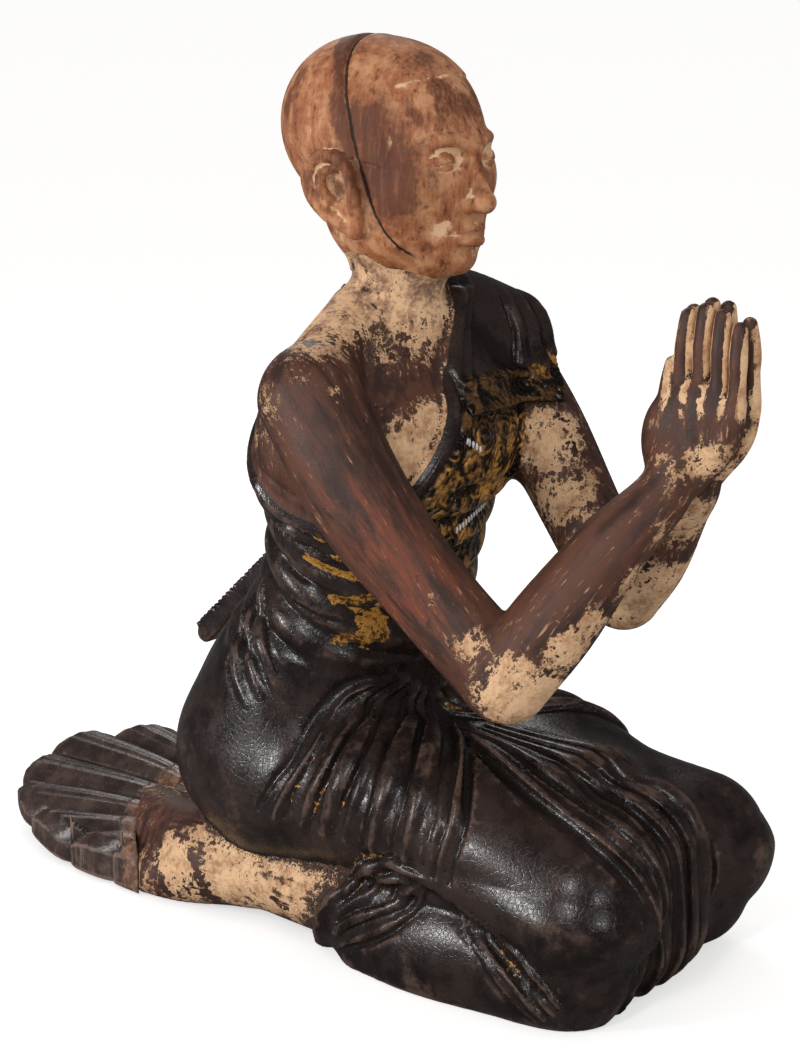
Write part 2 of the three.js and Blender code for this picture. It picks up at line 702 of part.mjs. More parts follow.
// A plate hollowed inside its rolled rim, with a long lobe, leaning in the plane of the side of the head
function shapeEars(clay) {
  const [tilt, flare] = [ear.lean, ear.flare].map(THREE.MathUtils.degToRad);
  for (const side of [-1, 1]) {
    const place = (u, v, out) => {
      const back = (u * Math.cos(tilt) - v * Math.sin(tilt)) * ear.size;
      const up = (u * Math.sin(tilt) + v * Math.cos(tilt)) * ear.size;
      const away = head.halfWidth - 1 + out * ear.size + (back + 10) * Math.sin(flare);
      return [side * away, ear.y + back * Math.cos(flare), ear.z + up];
    };
    const turn = [ear.lean, 0, side * ear.flare];
    clay.add(ball(place(0, 2, -2), [6.5, 20, 30], turn), 5);
    clay.carve(ball(place(-1, 6, 7), [7, 11, 16], turn), 2.5);
    const upper = [[-16, 12, 3, 3.6], [-6, 32, 4, 4.2], [14, 31, 5, 4.6]];
    const rim = [...upper, [22, 8, 5, 4.6], [12, -18, 4, 4.8], [0, -34, 3, 5.8]];
    clay.add(limb(rim.map(([u, v, out, r]) => [...place(u, v, out), r]), 4), 2.5);
    const lobe = [[-8, -12, 1, 5], [-7, -24, 1, 6.4], [-3, -35, 1, 6.6]];
    clay.add(limb(lobe.map(([u, v, out, r]) => [...place(u, v, out), r]), 4), 4);
  }
}

// Legs folded under, the cloth over them, the lap between them and the solid wood below
function shapeLegs(clay) {
  clay.add(board([0, -50, 50], [88, 190, 58], 30), 10);
  for (const { side, lift, lower, heel } of legs) {
    const place = (x, y, z, r) => [side * x, y, z, r];
    clay.add(
      limb([
        place(hip.x, hip.y, hip.z, hip.radius),
        place(69, -40, 121 + lift, 63),
        place(75, -104, 119 + lift, 61),
        place(80, -166, 116 - lower, 57 - lower * 0.2),
        place(knee.x + lower * 0.2, knee.y, knee.z - lower * 0.4, knee.radius),
      ]),
      20,
    );
    clay.add(
      limb([
        place(knee.x - 1, knee.y + 14, ...heel),
        place(shin.x + 1, -110, 44, shin.radius + 5),
        place(shin.x, 20, 44, shin.radius),
        place(shin.x + 2, 110, 46, shin.radius - 4),
        place(shin.x + 1, shin.ankleY, 42, 34),
        place(60, 218, 38, 30),
        place(34, 262, 34, 26),
      ]),
      5,
    );
    clay.add(limb([place(82, -196, 32, 46), place(86, -112, 26, 47), place(84, -14, 24, 43)]), 10);
  }
  clay.add(board([0, -86, 134], [62, 120, 38], 30), 26);
  clay.add(board([0, -186, 76], [68, 86, 78], 46), 16);
  clay.add(board([0, 140, 28], [84, 126, 26], 18), 10);
}

// The skirt's hem over the shins, and the crease that the bent knee folds into it
function dressLegs(clay) {
  clay.swell([-150, -330, -20], [150, 60, 112], (x, y, z) => {
    const short = (skirt.hemY - skirt.hemRun * z - y) / Math.hypot(1, skirt.hemRun);
    return skirt.hemThickness * ease(-2, 3, short) * ease(116, 88, z) * ease(60, 90, Math.abs(x));
  });
  for (const side of [-1, 1]) {
    const crease = [[129, -69, 100], [128, -123, 90], [128, -176, 66], [132, -232, 34]];
    const onSurface = crease.map((point) => [...clay.settle(mirror(side, point)), 4]);
    clay.carve(limb(onSurface), 10);
  }
}

// Bundles of folds, each as rows of its first and last fold
function foldCloth(clay) {
  folds(clay, [
    [[-24, -50, 190], [40, -62, 182]],
    [[-60, -130, 180], [62, -150, 160]],
    [[-86, -208, 166], [56, -215, 148]],
    [[-97, -272, 132], [60, -272, 122]],
    [[-80, -292, 76], [60, -288, 76]],
    [[-74, -256, 6], [32, -244, 4]],
  ], { count: 8, radius: 10, sink: 0.3, blend: 5 });
  for (const side of [-1, 1]) {
    const flip = (rows) => rows.map((row) => row.map((p) => mirror(side, p)));
    folds(clay, flip([
      [[60, 2, 212], [30, -48, 186]],
      [[112, 10, 164], [98, -92, 160]],
      [[134, 50, 112], [122, -120, 100]],
    ]), { count: side < 0 ? 7 : 6, radius: 9, sink: 0.3, blend: 5 });
    folds(clay, flip([
      [[62, 112, 262], [76, 70, 258]],
      [[96, 92, 214], [108, 46, 210]],
      [[112, 84, 186], [118, 34, 182]],
    ]), { count: 3, radius: 7, sink: 0.7 });
  }
}

// The end of the robe over the left shoulder, its border, and the folds that run over it
function dressShoulder(clay) {
  clay.swell([-10, -130, 380], [190, 80, 540], (x, y, z) => {
    const above = z + 0.05 * x - robe.flapBottom - 0.9 * Math.max(0, x - 108);
    const border = bump(above, 5, 5) + bump(above, 22, 4);
    const offNeck = Math.min(ease(42, 52, Math.hypot(x, y - neck.y)) + ease(505, 490, z), 1);
    const covers = ease(-4, 4, above) * offNeck * ease(-2, 2, belowEdge(x, y, z)) * ease(70, 40, y);
    return (4.5 + 2.5 * border) * covers;
  });
}

function shapeFigure() {
  const clay = new Clay([-176, -330, -12], [180, 300, 728]);
  shapeTorso(clay);
  dressTorso(clay);
  shapeNeck(clay);
  shapeLegs(clay);
  dressLegs(clay);
  foldCloth(clay);
  hangSash(clay);
  shapeArms(clay);
  dressShoulder(clay);
  shapeHands(clay);
  shapeHead(clay);
  return clay;
}

// The pleated hem behind the feet: an oval tail whose lobes radiate from a point under the hips
function shapeFan() {
  const clay = new Clay([-150, 190, -8], [150, 440, 100]);
  const box = boxAround([[0, 310, 40]], 160);
  const distance = (x, y, z) => {
    const turn = THREE.MathUtils.radToDeg(Math.atan2(x, y - fan.centreY));
    const lobe = ((turn + fan.spread) / (2 * fan.spread)) * fan.lobes;
    const across = 2 * Math.abs(lobe - Math.floor(lobe) - 0.5);
    const crest = 1 - across ** 2.2;
    const past = Math.max(y - fan.wideY, 0);
    const rim = (Math.hypot(x / fan.halfWidth, past / fan.length) - 0.96 - 0.05 * crest) * fan.halfWidth;
    const rise = 0.14 * x * ease(190, 300, y) + 3 * ease(220, 330, y);
    const top = z - (fan.top - 8 + 10 * crest * ease(180, 300, y) + rise);
    const bottom = fan.bottom + 0.6 * rise + 0.12 * (y - 320) - z;
    const bevel = (0.75 * rim + 0.66 * top + 7) * 0.98;
    return softMax(softMax(softMax(rim, top, 4), bevel, 3), bottom, 6);
  };
  clay.add({ box, distance });
  return clay;
}

// A block that fills the room behind the line where the hem joins the feet
function roomBehind(shift) {
  const edge = Array.from({ length: 25 }, (_, i) => {
    const x = (i / 12 - 1) * 1.6 * split.halfWidth;
    const y = split.middleY - (split.middleY - split.sideY) * (x / split.halfWidth) ** 2;
    return new THREE.Vector2(x, y + shift);
  });
  const wide = edge.at(-1).x;
  const outline = new THREE.Shape([...edge, new THREE.Vector2(wide, 600), new THREE.Vector2(-wide, 600)]);
  const block = new THREE.ExtrudeGeometry(outline, { depth: 120, bevelEnabled: false });
  return solidFromGeometry(block.translate(0, 0, -10));
}

const care = (x, y, z) => (z > 540 || (y < -215 && z > 400) ? 6 : 1);
const figureSolid = pieceFrom(shapeFigure(), faces.figure, care).subtract(roomBehind(0));
const fanSolid = pieceFrom(shapeFan(), faces.fan, () => 1).intersect(roomBehind(split.gap));

const lacqueredWood = new THREE.MeshStandardMaterial({ color: 0x4a3028, roughness: 0.45, metalness: 0 });
const lacqueredHem = new THREE.MeshStandardMaterial({ color: 0x2e2321, roughness: 0.4, metalness: 0 });
const part = new THREE.Group();
for (const [name, solid, material] of [
  ["figure", figureSolid, lacqueredWood],
  ["hem_fan", fanSolid, lacqueredHem],
]) {
  const mesh = new THREE.Mesh(geometryFrom(solid), material);
  mesh.name = name;
  part.add(mesh);
}

export default part;
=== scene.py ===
import math
import time
import bpy
import numpy as np
from mathutils import Matrix, Vector


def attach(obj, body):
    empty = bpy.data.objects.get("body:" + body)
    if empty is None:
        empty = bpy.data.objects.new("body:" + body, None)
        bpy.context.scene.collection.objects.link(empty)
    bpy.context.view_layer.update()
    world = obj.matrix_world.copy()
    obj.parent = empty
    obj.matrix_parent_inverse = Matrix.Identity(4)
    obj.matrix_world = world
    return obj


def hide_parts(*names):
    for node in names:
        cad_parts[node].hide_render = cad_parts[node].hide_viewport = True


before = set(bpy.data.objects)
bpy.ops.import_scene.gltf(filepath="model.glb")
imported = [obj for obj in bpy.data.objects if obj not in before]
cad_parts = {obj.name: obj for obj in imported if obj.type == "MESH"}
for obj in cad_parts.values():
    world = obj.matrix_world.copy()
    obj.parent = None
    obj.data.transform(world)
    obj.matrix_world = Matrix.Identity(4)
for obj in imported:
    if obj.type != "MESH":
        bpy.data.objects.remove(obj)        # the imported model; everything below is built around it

began = time.time()
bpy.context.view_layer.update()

# The carving is worked out in millimetres, x to the figure's left, y to its back, z up
sculpt = {
    "step": 2.3,      # spacing of the carving grid
    "farAway": 1000.0,                       # value of the grid where there is no wood
    "shell": 14.0,                           # how far round a form its distance is worked out
    "triangles": 190000,                     # most triangles that the figure keeps
    "hemTriangles": 60000,                   # and the hem fan
}
stretches = {                                # finer spacing where the face and hands are
    "x": [(-60, 60, 0.66)],
    "y": [(-322, -232, 0.7), (-86, -36, 0.56)],
    "z": [(398, 534, 0.72), (534, 724, 0.56)],
}
skinTone, clothTone, headTone = 1, 2, 3      # what each part of the grid is carved as
metres = 0.001


def report(stage):
    print("%-34s %6.1f s" % (stage, time.time() - began))


def mix(a, b, t):
    return a + (b - a) * t


def ease(low, high, v):
    t = np.clip((v - low) / (high - low), 0, 1)
    return t * t * (3 - 2 * t)


def bump(v, centre, width):
    return np.exp(-((v - centre) / width) ** 2)


def softMin(a, b, k):
    if k <= 0:
        return np.minimum(a, b)
    h = np.maximum(k - np.abs(a - b), 0)
    return np.minimum(a, b) - h * h / (4 * k)


def softMax(a, b, k):
    return -softMin(-a, -b, k)


def turned(angles):                          # rotation matrix, X then Y then Z of the body's own axes
    rx, ry, rz = [Matrix.Rotation(math.radians(a), 3, axis) for a, axis in zip(angles, "XYZ")]
    return np.array(rx @ ry @ rz)


def spread(xs, ys, zs):
    return xs[:, None, None], ys[None, :, None], zs[None, None, :]


def smoothPath(points, steps):               # points on a smooth curve through the given ones
    p = np.asarray(points, float)
    p = np.vstack([2 * p[0] - p[1], p, 2 * p[-1] - p[-2]])
    out = []
    for i in range(1, len(p) - 2):
        x0, x1, x2, x3 = p[i - 1:i + 3]
        pairs = ((x0, x1), (x1, x2), (x2, x3))
        d0, d1, d2 = [max(np.linalg.norm((b - a)[:3]) ** 0.5, 1e-4) for a, b in pairs]
        m1 = ((x1 - x0) / d0 - (x2 - x0) / (d0 + d1) + (x2 - x1) / d1) * d1
        m2 = ((x2 - x1) / d1 - (x3 - x1) / (d1 + d2) + (x3 - x2) / d2) * d1
        square, cube = 3 * (x2 - x1) - 2 * m1 - m2, 2 * (x1 - x2) + m1 + m2
        last = i == len(p) - 3
        for t in np.arange(steps + (1 if last else 0)) / steps:
            out.append(x1 + m1 * t + square * t ** 2 + cube * t ** 3)
    return np.array(out)


# Forms: the box that holds one, and its distance over a block of grid planes
def ball(centre, sizes, turn=(0, 0, 0)):
    back = turned(turn).T
    rx, ry, rz = sizes

    def distance(xs, ys, zs):
        x, y, z = spread(xs - centre[0], ys - centre[1], zs - centre[2])
        px = (back[0, 0] * x + back[0, 1] * y + back[0, 2] * z) / rx
        py = (back[1, 0] * x + back[1, 1] * y + back[1, 2] * z) / ry
        pz = (back[2, 0] * x + back[2, 1] * y + back[2, 2] * z) / rz
        k0 = np.sqrt(px * px + py * py + pz * pz)
        k1 = np.sqrt((px / rx) ** 2 + (py / ry) ** 2 + (pz / rz) ** 2)
        return k0 * (k0 - 1) / np.maximum(k1, 1e-6)

    reach = np.sqrt(((turned(turn) * np.array(sizes)) ** 2).sum(axis=1))
    return np.array(centre) - reach, np.array(centre) + reach, distance


def limb(stations, steps=6):                 # round along its length through x, y, z, radius
    rings = smoothPath(stations, steps) if steps > 1 else np.asarray(stations, float)
    rings[:, 3] = np.maximum(rings[:, 3], 0.2)

    def distance(xs, ys, zs):
        best = np.full((len(xs), len(ys), len(zs)), sculpt["farAway"], np.float32)
        reach = sculpt["shell"] + 12
        for a, b in zip(rings[:-1], rings[1:]):
            low = np.minimum(a[:3], b[:3]) - max(a[3], b[3]) - reach
            high = np.maximum(a[:3], b[:3]) + max(a[3], b[3]) + reach
            ends = [np.searchsorted(axis, (low[i], high[i])) for i, axis in enumerate((xs, ys, zs))]
            cut = tuple(slice(*pair) for pair in ends)
            if any(c.start >= c.stop for c in cut):
                continue
            x, y, z = spread(xs[cut[0]] - a[0], ys[cut[1]] - a[1], zs[cut[2]] - a[2])
            u = b[:3] - a[:3]
            t = np.clip((x * u[0] + y * u[1] + z * u[2]) / max(u @ u, 1e-9), 0, 1)
            d = np.sqrt((x - u[0] * t) ** 2 + (y - u[1] * t) ** 2 + (z - u[2] * t) ** 2) - mix(a[3], b[3], t)
            best[cut] = np.minimum(best[cut], d)
        return best

    widest = rings[:, 3].max()
    return rings[:, :3].min(axis=0) - widest, rings[:, :3].max(axis=0) + widest, distance


def column(sections):                        # level ovals: z, centre x, centre y, half width, half depth
    table = np.array(sections, float)

    def distance(xs, ys, zs):
        level = np.clip(zs, table[0, 0], table[-1, 0])
        i = np.clip(np.searchsorted(table[:, 0], level), 1, len(table) - 1)
        a, b = table[i - 1], table[i]
        before, after = table[np.maximum(i - 2, 0)], table[np.minimum(i + 1, len(table) - 1)]
        span = (b[:, :1] - a[:, :1])
        t = np.clip((level[:, None] - a[:, :1]) / span, 0, 1)
        slopeA = (b - before) / (b[:, :1] - before[:, :1]) * span
        slopeB = (after - a) / (after[:, :1] - a[:, :1]) * span
        at = ((2 * t ** 3 - 3 * t ** 2 + 1) * a + (t ** 3 - 2 * t ** 2 + t) * slopeA
              + (3 * t ** 2 - 2 * t ** 3) * b + (t ** 3 - t ** 2) * slopeB)
        cx, cy, rx, ry = [at[:, k][None, None, :] for k in (1, 2, 3, 4)]
        x, y, z = spread(xs, ys, zs)
        px, py = (x - cx) / rx, (y - cy) / ry
        k0 = np.sqrt(px * px + py * py)
        side = k0 * (k0 - 1) / np.maximum(np.sqrt((px / rx) ** 2 + (py / ry) ** 2), 1e-6)
        return softMax(side, np.maximum(table[0, 0] - z, z - table[-1, 0]), 12)

    wide = table[:, 3:].max()
    return (np.array([-wide, table[:, 2].min() - wide, table[0, 0]]),
            np.array([wide, table[:, 2].max() + wide, table[-1, 0]]), distance)


def board(centre, sizes, rounding):          # a block with rounded edges
    def distance(xs, ys, zs):
        places = spread(xs - centre[0], ys - centre[1], zs - centre[2])
        p = [np.abs(place) - size + rounding for place, size in zip(places, sizes)]
        outside = np.sqrt(sum(np.maximum(v, 0) ** 2 for v in p))
        return outside + np.minimum(np.maximum(np.maximum(p[0], p[1]), p[2]), 0) - rounding

    reach = np.array(sizes, float)
    return np.array(centre) - reach, np.array(centre) + reach, distance


def band(points, x, halfWidth, thickness):   # a flat band that follows points y, z at one x
    path = np.array(points, float)

    def distance(xs, ys, zs):
        y, z = ys[:, None], zs[None, :]
        best = np.full((len(ys), len(zs)), sculpt["farAway"])
        for a, b in zip(path[:-1], path[1:]):
            u = b - a
            t = np.clip(((y - a[0]) * u[0] + (z - a[1]) * u[1]) / (u @ u), 0, 1)
            best = np.minimum(best, np.hypot(y - a[0] - u[0] * t, z - a[1] - u[1] * t))
        return softMax((best - thickness / 2)[None], (np.abs(xs - x) - halfWidth)[:, None, None], 3)

    low = np.array([x - halfWidth, path[:, 0].min() - thickness, path[:, 1].min() - thickness])
    high = np.array([x + halfWidth, path[:, 0].max() + thickness, path[:, 1].max() + thickness])
    return low, high, distance


def planes(low, high, fine):                 # places of the grid's planes along one axis
    places = [low]
    while places[-1] < high:
        share = min([s for a, b, s in fine if a <= places[-1] < b] or [1.0])
        places.append(places[-1] + sculpt["step"] * share)
    return np.array(places, np.float32)


class Clay:                                  # a grid of distances; forms are added, cut away and swelled
    def __init__(self, low, high, fine=stretches):
        self.axes = [planes(a, b, fine.get(axis, [])) for a, b, axis in zip(low, high, "xyz")]
        self.value = np.full([len(a) for a in self.axes], sculpt["farAway"], np.float32)
        self.tone = np.full(self.value.shape, clothTone, np.uint8)

    def cut(self, low, high):
        ends = [np.searchsorted(axis, (a, b)) for axis, a, b in zip(self.axes, low, high)]
        cut = tuple(slice(a, b) for a, b in ends)
        return cut, [axis[c] for axis, c in zip(self.axes, cut)]

    def add(self, form, blend=0.0, tone=None):
        reach = blend + sculpt["shell"]
        cut, places = self.cut(form[0] - reach, form[1] + reach)
        if min(len(p) for p in places) == 0:
            return
        old = self.value[cut]
        new = form[2](*places)
        if tone is not None:
            self.tone[cut] = np.where(new < old, tone, self.tone[cut])
        self.value[cut] = softMin(old, new, blend)

    def carve(self, form, blend=0.0):
        reach = blend + sculpt["step"] * 2
        cut, places = self.cut(form[0] - reach, form[1] + reach)
        if min(len(p) for p in places):
            self.value[cut] = softMax(self.value[cut], -form[2](*places), blend)

    def swell(self, low, high, amount):
        cut, places = self.cut(low, high)
        old = self.value[cut]
        self.value[cut] = np.where(np.abs(old) < 3 * sculpt["shell"], old - amount(*spread(*places)), old)

    def at(self, points):
        p = np.atleast_2d(points)
        index, share = [], []
        for k, axis in enumerate(self.axes):
            i = np.clip(np.searchsorted(axis, p[:, k], side="right") - 1, 0, len(axis) - 2)
            index.append(i)
            share.append(np.clip((p[:, k] - axis[i]) / (axis[i + 1] - axis[i]), 0, 1))
        total = np.zeros(len(p))
        for corner in range(8):
            bits = [(corner >> k) & 1 for k in range(3)]
            weight = np.prod([s if bit else 1 - s for s, bit in zip(share, bits)], axis=0)
            total += weight * self.value[tuple(i + bit for i, bit in zip(index, bits))]
        return total

    def rise(self, p, step):                 # how much the distance grows along each axis
        return np.stack([self.at(p + step * axis) - self.at(p - step * axis) for axis in np.eye(3)], axis=1)

    def outward(self, points):
        slope = self.rise(np.atleast_2d(points).astype(float), 4.0)
        return slope / np.maximum(np.linalg.norm(slope, axis=1, keepdims=True), 1e-6)

    def settle(self, points):                # the nearest places on the surface
        p = np.atleast_2d(points).astype(float)
        farthest, flattest, rounds = 20, 0.3, 6
        for _ in range(rounds):
            here = np.clip(self.at(p), -farthest, farthest)
            slope = self.rise(p, 3) / 6
            steep = np.maximum(np.linalg.norm(slope, axis=1), flattest)
            p = p - slope * (here / steep ** 2)[:, None]
        return p


# Carved folds: each runs over the surface through one point of every row, and the rows hold the first
# and the last fold of the bundle
def folds(clay, rows, count, radius, sink=0.3, blend=1.6, bend=0.0, cut=False, taper=0.45, fade=0.0):
    tubes = []
    for i in range(count):
        t = 0.5 if count == 1 else i / (count - 1)
        wander = bend * math.sin(7.3 * i + 1.1)
        through = [mix(np.array(a, float), np.array(b, float), t + wander) for a, b in rows]
        path = smoothPath(through, 6)
        along = np.linspace(0, 1, len(path))
        uneven = 1 + 0.28 * math.sin(3.7 * i + 0.4)
        opening = taper + (1 - taper) * np.sin(np.pi * np.minimum(0.5, along * 1.3 + 0.05))
        full = radius * uneven * opening * (1 - fade * np.array([ease(0.6, 1.0, a) for a in along]))
        place = clay.settle(path)
        out = clay.outward(place)
        tubes.append(limb(np.hstack([place - out * (full * sink)[:, None], full[:, None]]), 1))
    for tube in tubes:
        if cut:
            clay.carve(tube, blend)
        else:
            clay.add(tube, blend)


def pleats(clay, rows, count, radius, groove, sink=0.35, bend=0.0, taper=0.45, fade=0.0):
    folds(clay, rows, count, radius, sink=sink, bend=bend, taper=taper, fade=fade)
    half = 0.5 / (count - 1)                 # a groove runs down both sides of each fold
    between = [[mix(np.array(a, float), np.array(b, float), t) for t in (-half, 1 + half)] for a, b in rows]
    folds(clay, between, count + 1, groove, sink=0.1, blend=1.0, bend=bend * 0.4, cut=True, taper=0.3,
          fade=fade)


def groove(clay, path, radius, blend=1.5):   # one carved line along the surface
    folds(clay, [[p, p] for p in path], 1, radius, sink=0.1, blend=blend, cut=True, taper=0.3, fade=0.8)


# Reading the surface of the clay as a mesh of four-sided faces
cornerBits = [((c >> 2) & 1, (c >> 1) & 1, c & 1) for c in range(8)]
cellEdges = [(a, a | bit) for a in range(8) for bit in (1, 2, 4) if not a & bit]


def plainPatterns():                         # which sign patterns let one plain sheet through a cell
    ways = ((1, 2, 4), (2, 4, 1), (4, 1, 2))
    sides = [(base, base | u, base | v, base | u | v) for u, v, w in ways for base in (0, w)]
    plain = np.ones(256, bool)
    for pattern in range(256):
        inside = [(pattern >> c) & 1 for c in range(8)]
        group = list(range(8))
        for _ in range(8):
            for a, b in cellEdges:
                if inside[a] == inside[b]:
                    group[a] = group[b] = min(group[a], group[b])
        crossed = any(inside[a] == inside[d] != inside[b] == inside[c] for a, b, c, d in sides)
        plain[pattern] = len(set(group)) <= 2 and not crossed
    return plain


def surfaceOf(clay):
    value = clay.value
    for axis in range(3):
        for end in (0, -1):
            edge = np.moveaxis(value, axis, 0)[end]
            np.maximum(edge, 1, out=edge)
    shape = value.shape
    strides = (shape[1] * shape[2], shape[2], 1)
    flat = value.reshape(-1)
    step = np.array([bits[0] * strides[0] + bits[1] * strides[1] + bits[2] for bits in cornerBits])
    inside = value < 0
    pattern = np.zeros([n - 1 for n in shape], np.uint8)
    for c, (i, j, k) in enumerate(cornerBits):
        pattern |= inside[i:shape[0] - 1 + i, j:shape[1] - 1 + j, k:shape[2] - 1 + k].astype(np.uint8) << c
    found = np.argwhere((pattern != 0) & (pattern != 255))
    cells = found @ np.array(strides)
    plain = plainPatterns()
    worry = cells[~plain[pattern[tuple(found.T)]]]
    while len(worry):                        # fill where two sheets would pass through one cell
        corner = worry[:, None] + step[None]
        v = flat[corner]
        bad = ~plain[((v < 0) << np.arange(8)).sum(axis=1)]
        corner, v = corner[bad], v[bad]
        if not len(v):
            break
        pick = np.where(v >= 0, v, np.inf).argmin(axis=1)
        spots = np.unique(corner[np.arange(len(v)), pick])
        flat[spots] = -0.01
        worry = np.unique((spots[:, None] - step[None]).ravel())
    inside = value < 0
    anyIn = np.zeros([n - 1 for n in shape], bool)
    allIn = np.ones_like(anyIn)
    for i, j, k in cornerBits:
        part = inside[i:shape[0] - 1 + i, j:shape[1] - 1 + j, k:shape[2] - 1 + k]
        anyIn |= part
        allIn &= part
    found = np.argwhere(anyIn & ~allIn)
    cells = found @ np.array(strides)
    v = flat[cells[:, None] + step[None]]
    total = np.zeros((len(cells), 3))
    crossings = np.zeros(len(cells))
    bits = np.array(cornerBits, float)
    for a, b in cellEdges:
        cross = (v[:, a] < 0) != (v[:, b] < 0)
        t = np.where(cross, v[:, a] / np.where(cross, v[:, a] - v[:, b], 1), 0)
        total += np.where(cross[:, None], bits[a] + (bits[b] - bits[a]) * t[:, None], 0)
        crossings += cross
    share = total / crossings[:, None]
    points = np.stack([axis[found[:, k]] + (axis[found[:, k] + 1] - axis[found[:, k]]) * share[:, k]
                       for k, axis in enumerate(clay.axes)], axis=1)
    quads = []
    for axis in range(3):
        u, w = (axis + 1) % 3, (axis + 2) % 3
        ahead = np.moveaxis(inside, axis, 0)
        changes = np.argwhere(np.moveaxis(ahead[:-1] != ahead[1:], 0, axis))
        changes = changes[(changes[:, u] > 0) & (changes[:, w] > 0)]
        n = changes @ np.array(strides)
        around = np.stack([n - strides[u] - strides[w], n - strides[w], n, n - strides[u]], axis=1)
        quad = np.searchsorted(cells, around)
        outFirst = flat[n] >= 0
        quad[outFirst] = quad[outFirst][:, ::-1]
        quads.append(quad)
    return points, np.vstack(quads)


def smoothShaded(mesh):
    mesh.polygons.foreach_set("use_smooth", [True] * len(mesh.polygons))


def settledMesh(piece, modifier):            # the piece with its modifier worked into the mesh
    graph = bpy.context.evaluated_depsgraph_get()
    mesh = bpy.data.meshes.new_from_object(piece.evaluated_get(graph))
    piece.modifiers.remove(modifier)
    piece.data = mesh


def placed(name, data):                      # an object at the origin, in the scene
    piece = bpy.data.objects.new(name, data)
    bpy.context.scene.collection.objects.link(piece)
    return piece


def meshFrom(name, points, quads):
    mesh = bpy.data.meshes.new(name)
    mesh.vertices.add(len(points))
    mesh.vertices.foreach_set("co", (points * metres).astype(np.float32).ravel())
    mesh.loops.add(quads.size)
    mesh.loops.foreach_set("vertex_index", quads.astype(np.int32).ravel())
    mesh.polygons.add(len(quads))
    mesh.polygons.foreach_set("loop_start", np.arange(len(quads), dtype=np.int32) * quads.shape[1])
    mesh.polygons.foreach_set("loop_total", np.full(len(quads), quads.shape[1], np.int32))
    mesh.update(calc_edges=True)
    return placed(name, mesh)


# The figure: sizes that its forms are worked out from
head = {"top": 720, "height": 180, "halfWidth": 66, "halfLength": 87, "y": 16}
ear = {"y": 7, "z": 605, "size": 0.88, "lean": -22, "flare": 17}
neck = {"y": 4, "radius": 44, "bottom": 495}
shoulder = {-1: 130, 1: 120, "y": {-1: -13, 1: -9}, "z": 456, "radius": {-1: 40, 1: 38}}
elbow = {-1: (108, -178, 264), 1: (84, -158, 286), "radius": {-1: 33, 1: 30.5}}
wrist = {-1: (24, -266, 410), 1: (18, -262, 408), "radius": 20}
hand = {
    "y": {-1: -278, 1: -276}, "knuckles": 462, "radius": (7.0, 7.0, 6.8, 6.6),
    "fingers": {-1: (-266, -281, -296, -311), 1: (-262, -278, -292, -311)},
    "tips": {-1: (536, 541, 538, 530), 1: (537, 543, 542, 532)},
}
hip = {"x": 58, "y": 62, "z": 118, "radius": 72}
knee = {"x": 82, "y": -234, "z": 95, "radius": 57}
shin = {"x": 80, "radius": 40, "ankleY": 160}
robe = {
    "thickness": 6, "edgeZ": 490, "edgeSlope": 1.45, "edgeBack": 0.1, "sideRise": 0.75, "flapBottom": 434,
    "windSlope": 0.62, "windStep": 32, "windDepth": 6,
}
skirt = {"hemY": 3, "hemRun": 0.12, "hemCurve": 0.0054, "hemThickness": 8}
sash = {"x": 60, "halfWidth": 44, "thickness": 17, "notches": 26}
wraps = [                                    # grooves round the waist: three points and a depth each
    ((93, 72, 372), (101, 22, 348), (96, -12, 340), 2.6),
    ((96, 66, 356), (104, 20, 334), (93, -16, 322), 3.0),
    ((94, 64, 332), (99, 30, 306), (86, -8, 292), 2.6),
    ((101, 20, 322), (95, 0, 312), (78, -22, 306), 2.2),
    ((98, 40, 288), (92, 8, 274), (74, -22, 268), 2.2),
    ((99, 52, 392), (106, 10, 372), (98, -24, 362), 2.4),
]
split = {"middleY": 262, "sideY": 200, "halfWidth": 112}
fan = {
    "centreY": 60, "spread": 27, "lobes": 6, "halfWidth": 122, "wideY": 230, "length": 198,
    "top": 52, "bottom": 17, "slant": 0.14, "gap": 0.3,
}


def onSide(side, stations):
    return [(side * s[0],) + tuple(s[1:]) for s in stations]


def shapeTorso(clay):
    clay.add(column([
        (66, 0, 74, 104, 82), (95, 0, 74, 118, 94), (130, 0, 73, 122, 97), (170, 0, 72, 118, 100),
        (210, 0, 70, 110, 97), (250, 0, 52, 99, 88), (290, 0, 34, 92, 76), (330, 0, 24, 96, 75),
        (370, 0, 17, 107, 77), (405, 0, 12, 112, 75), (440, 0, 9, 108, 66), (470, 0, 8, 86, 54),
        (492, 0, 6, 58, 45), (512, 0, 4, 43, 40),
    ]))
    for side in (-1, 1):
        slope = [(32, 4, 511, 23), (76, -4, 496, 26), (114, -10, 471, 35)]
        if side < 0:
            slope = [(32, 20, 507, 23), (82, 6, 485, 26), (114, -4, 464, 32)]
        clay.add(limb(onSide(side, slope)), 20)
        clay.add(ball((side * 48, -50, 408), (42, 14, 32), (0, 0, side * 14)), 26)
        clay.add(ball((side * 81, 34, 414), (41, 38, 54)), 24)
        clay.add(ball((side * 56, 114, 130), (66, 64, 66)), 24)
    clay.carve(limb([(-12, -50, 484, 4), (-50, -40, 486, 5), (-92, -36, 484, 4)]), 8)


def belowEdge(x, y, z):                      # how far below the robe's slanting upper edge
    slope, back = robe["edgeSlope"], robe["edgeBack"]
    rise = robe["sideRise"] * np.minimum(np.maximum(0, y + 14), 70)
    return (robe["edgeZ"] + slope * x + back * y + rise - z) / math.hypot(1, slope, back)


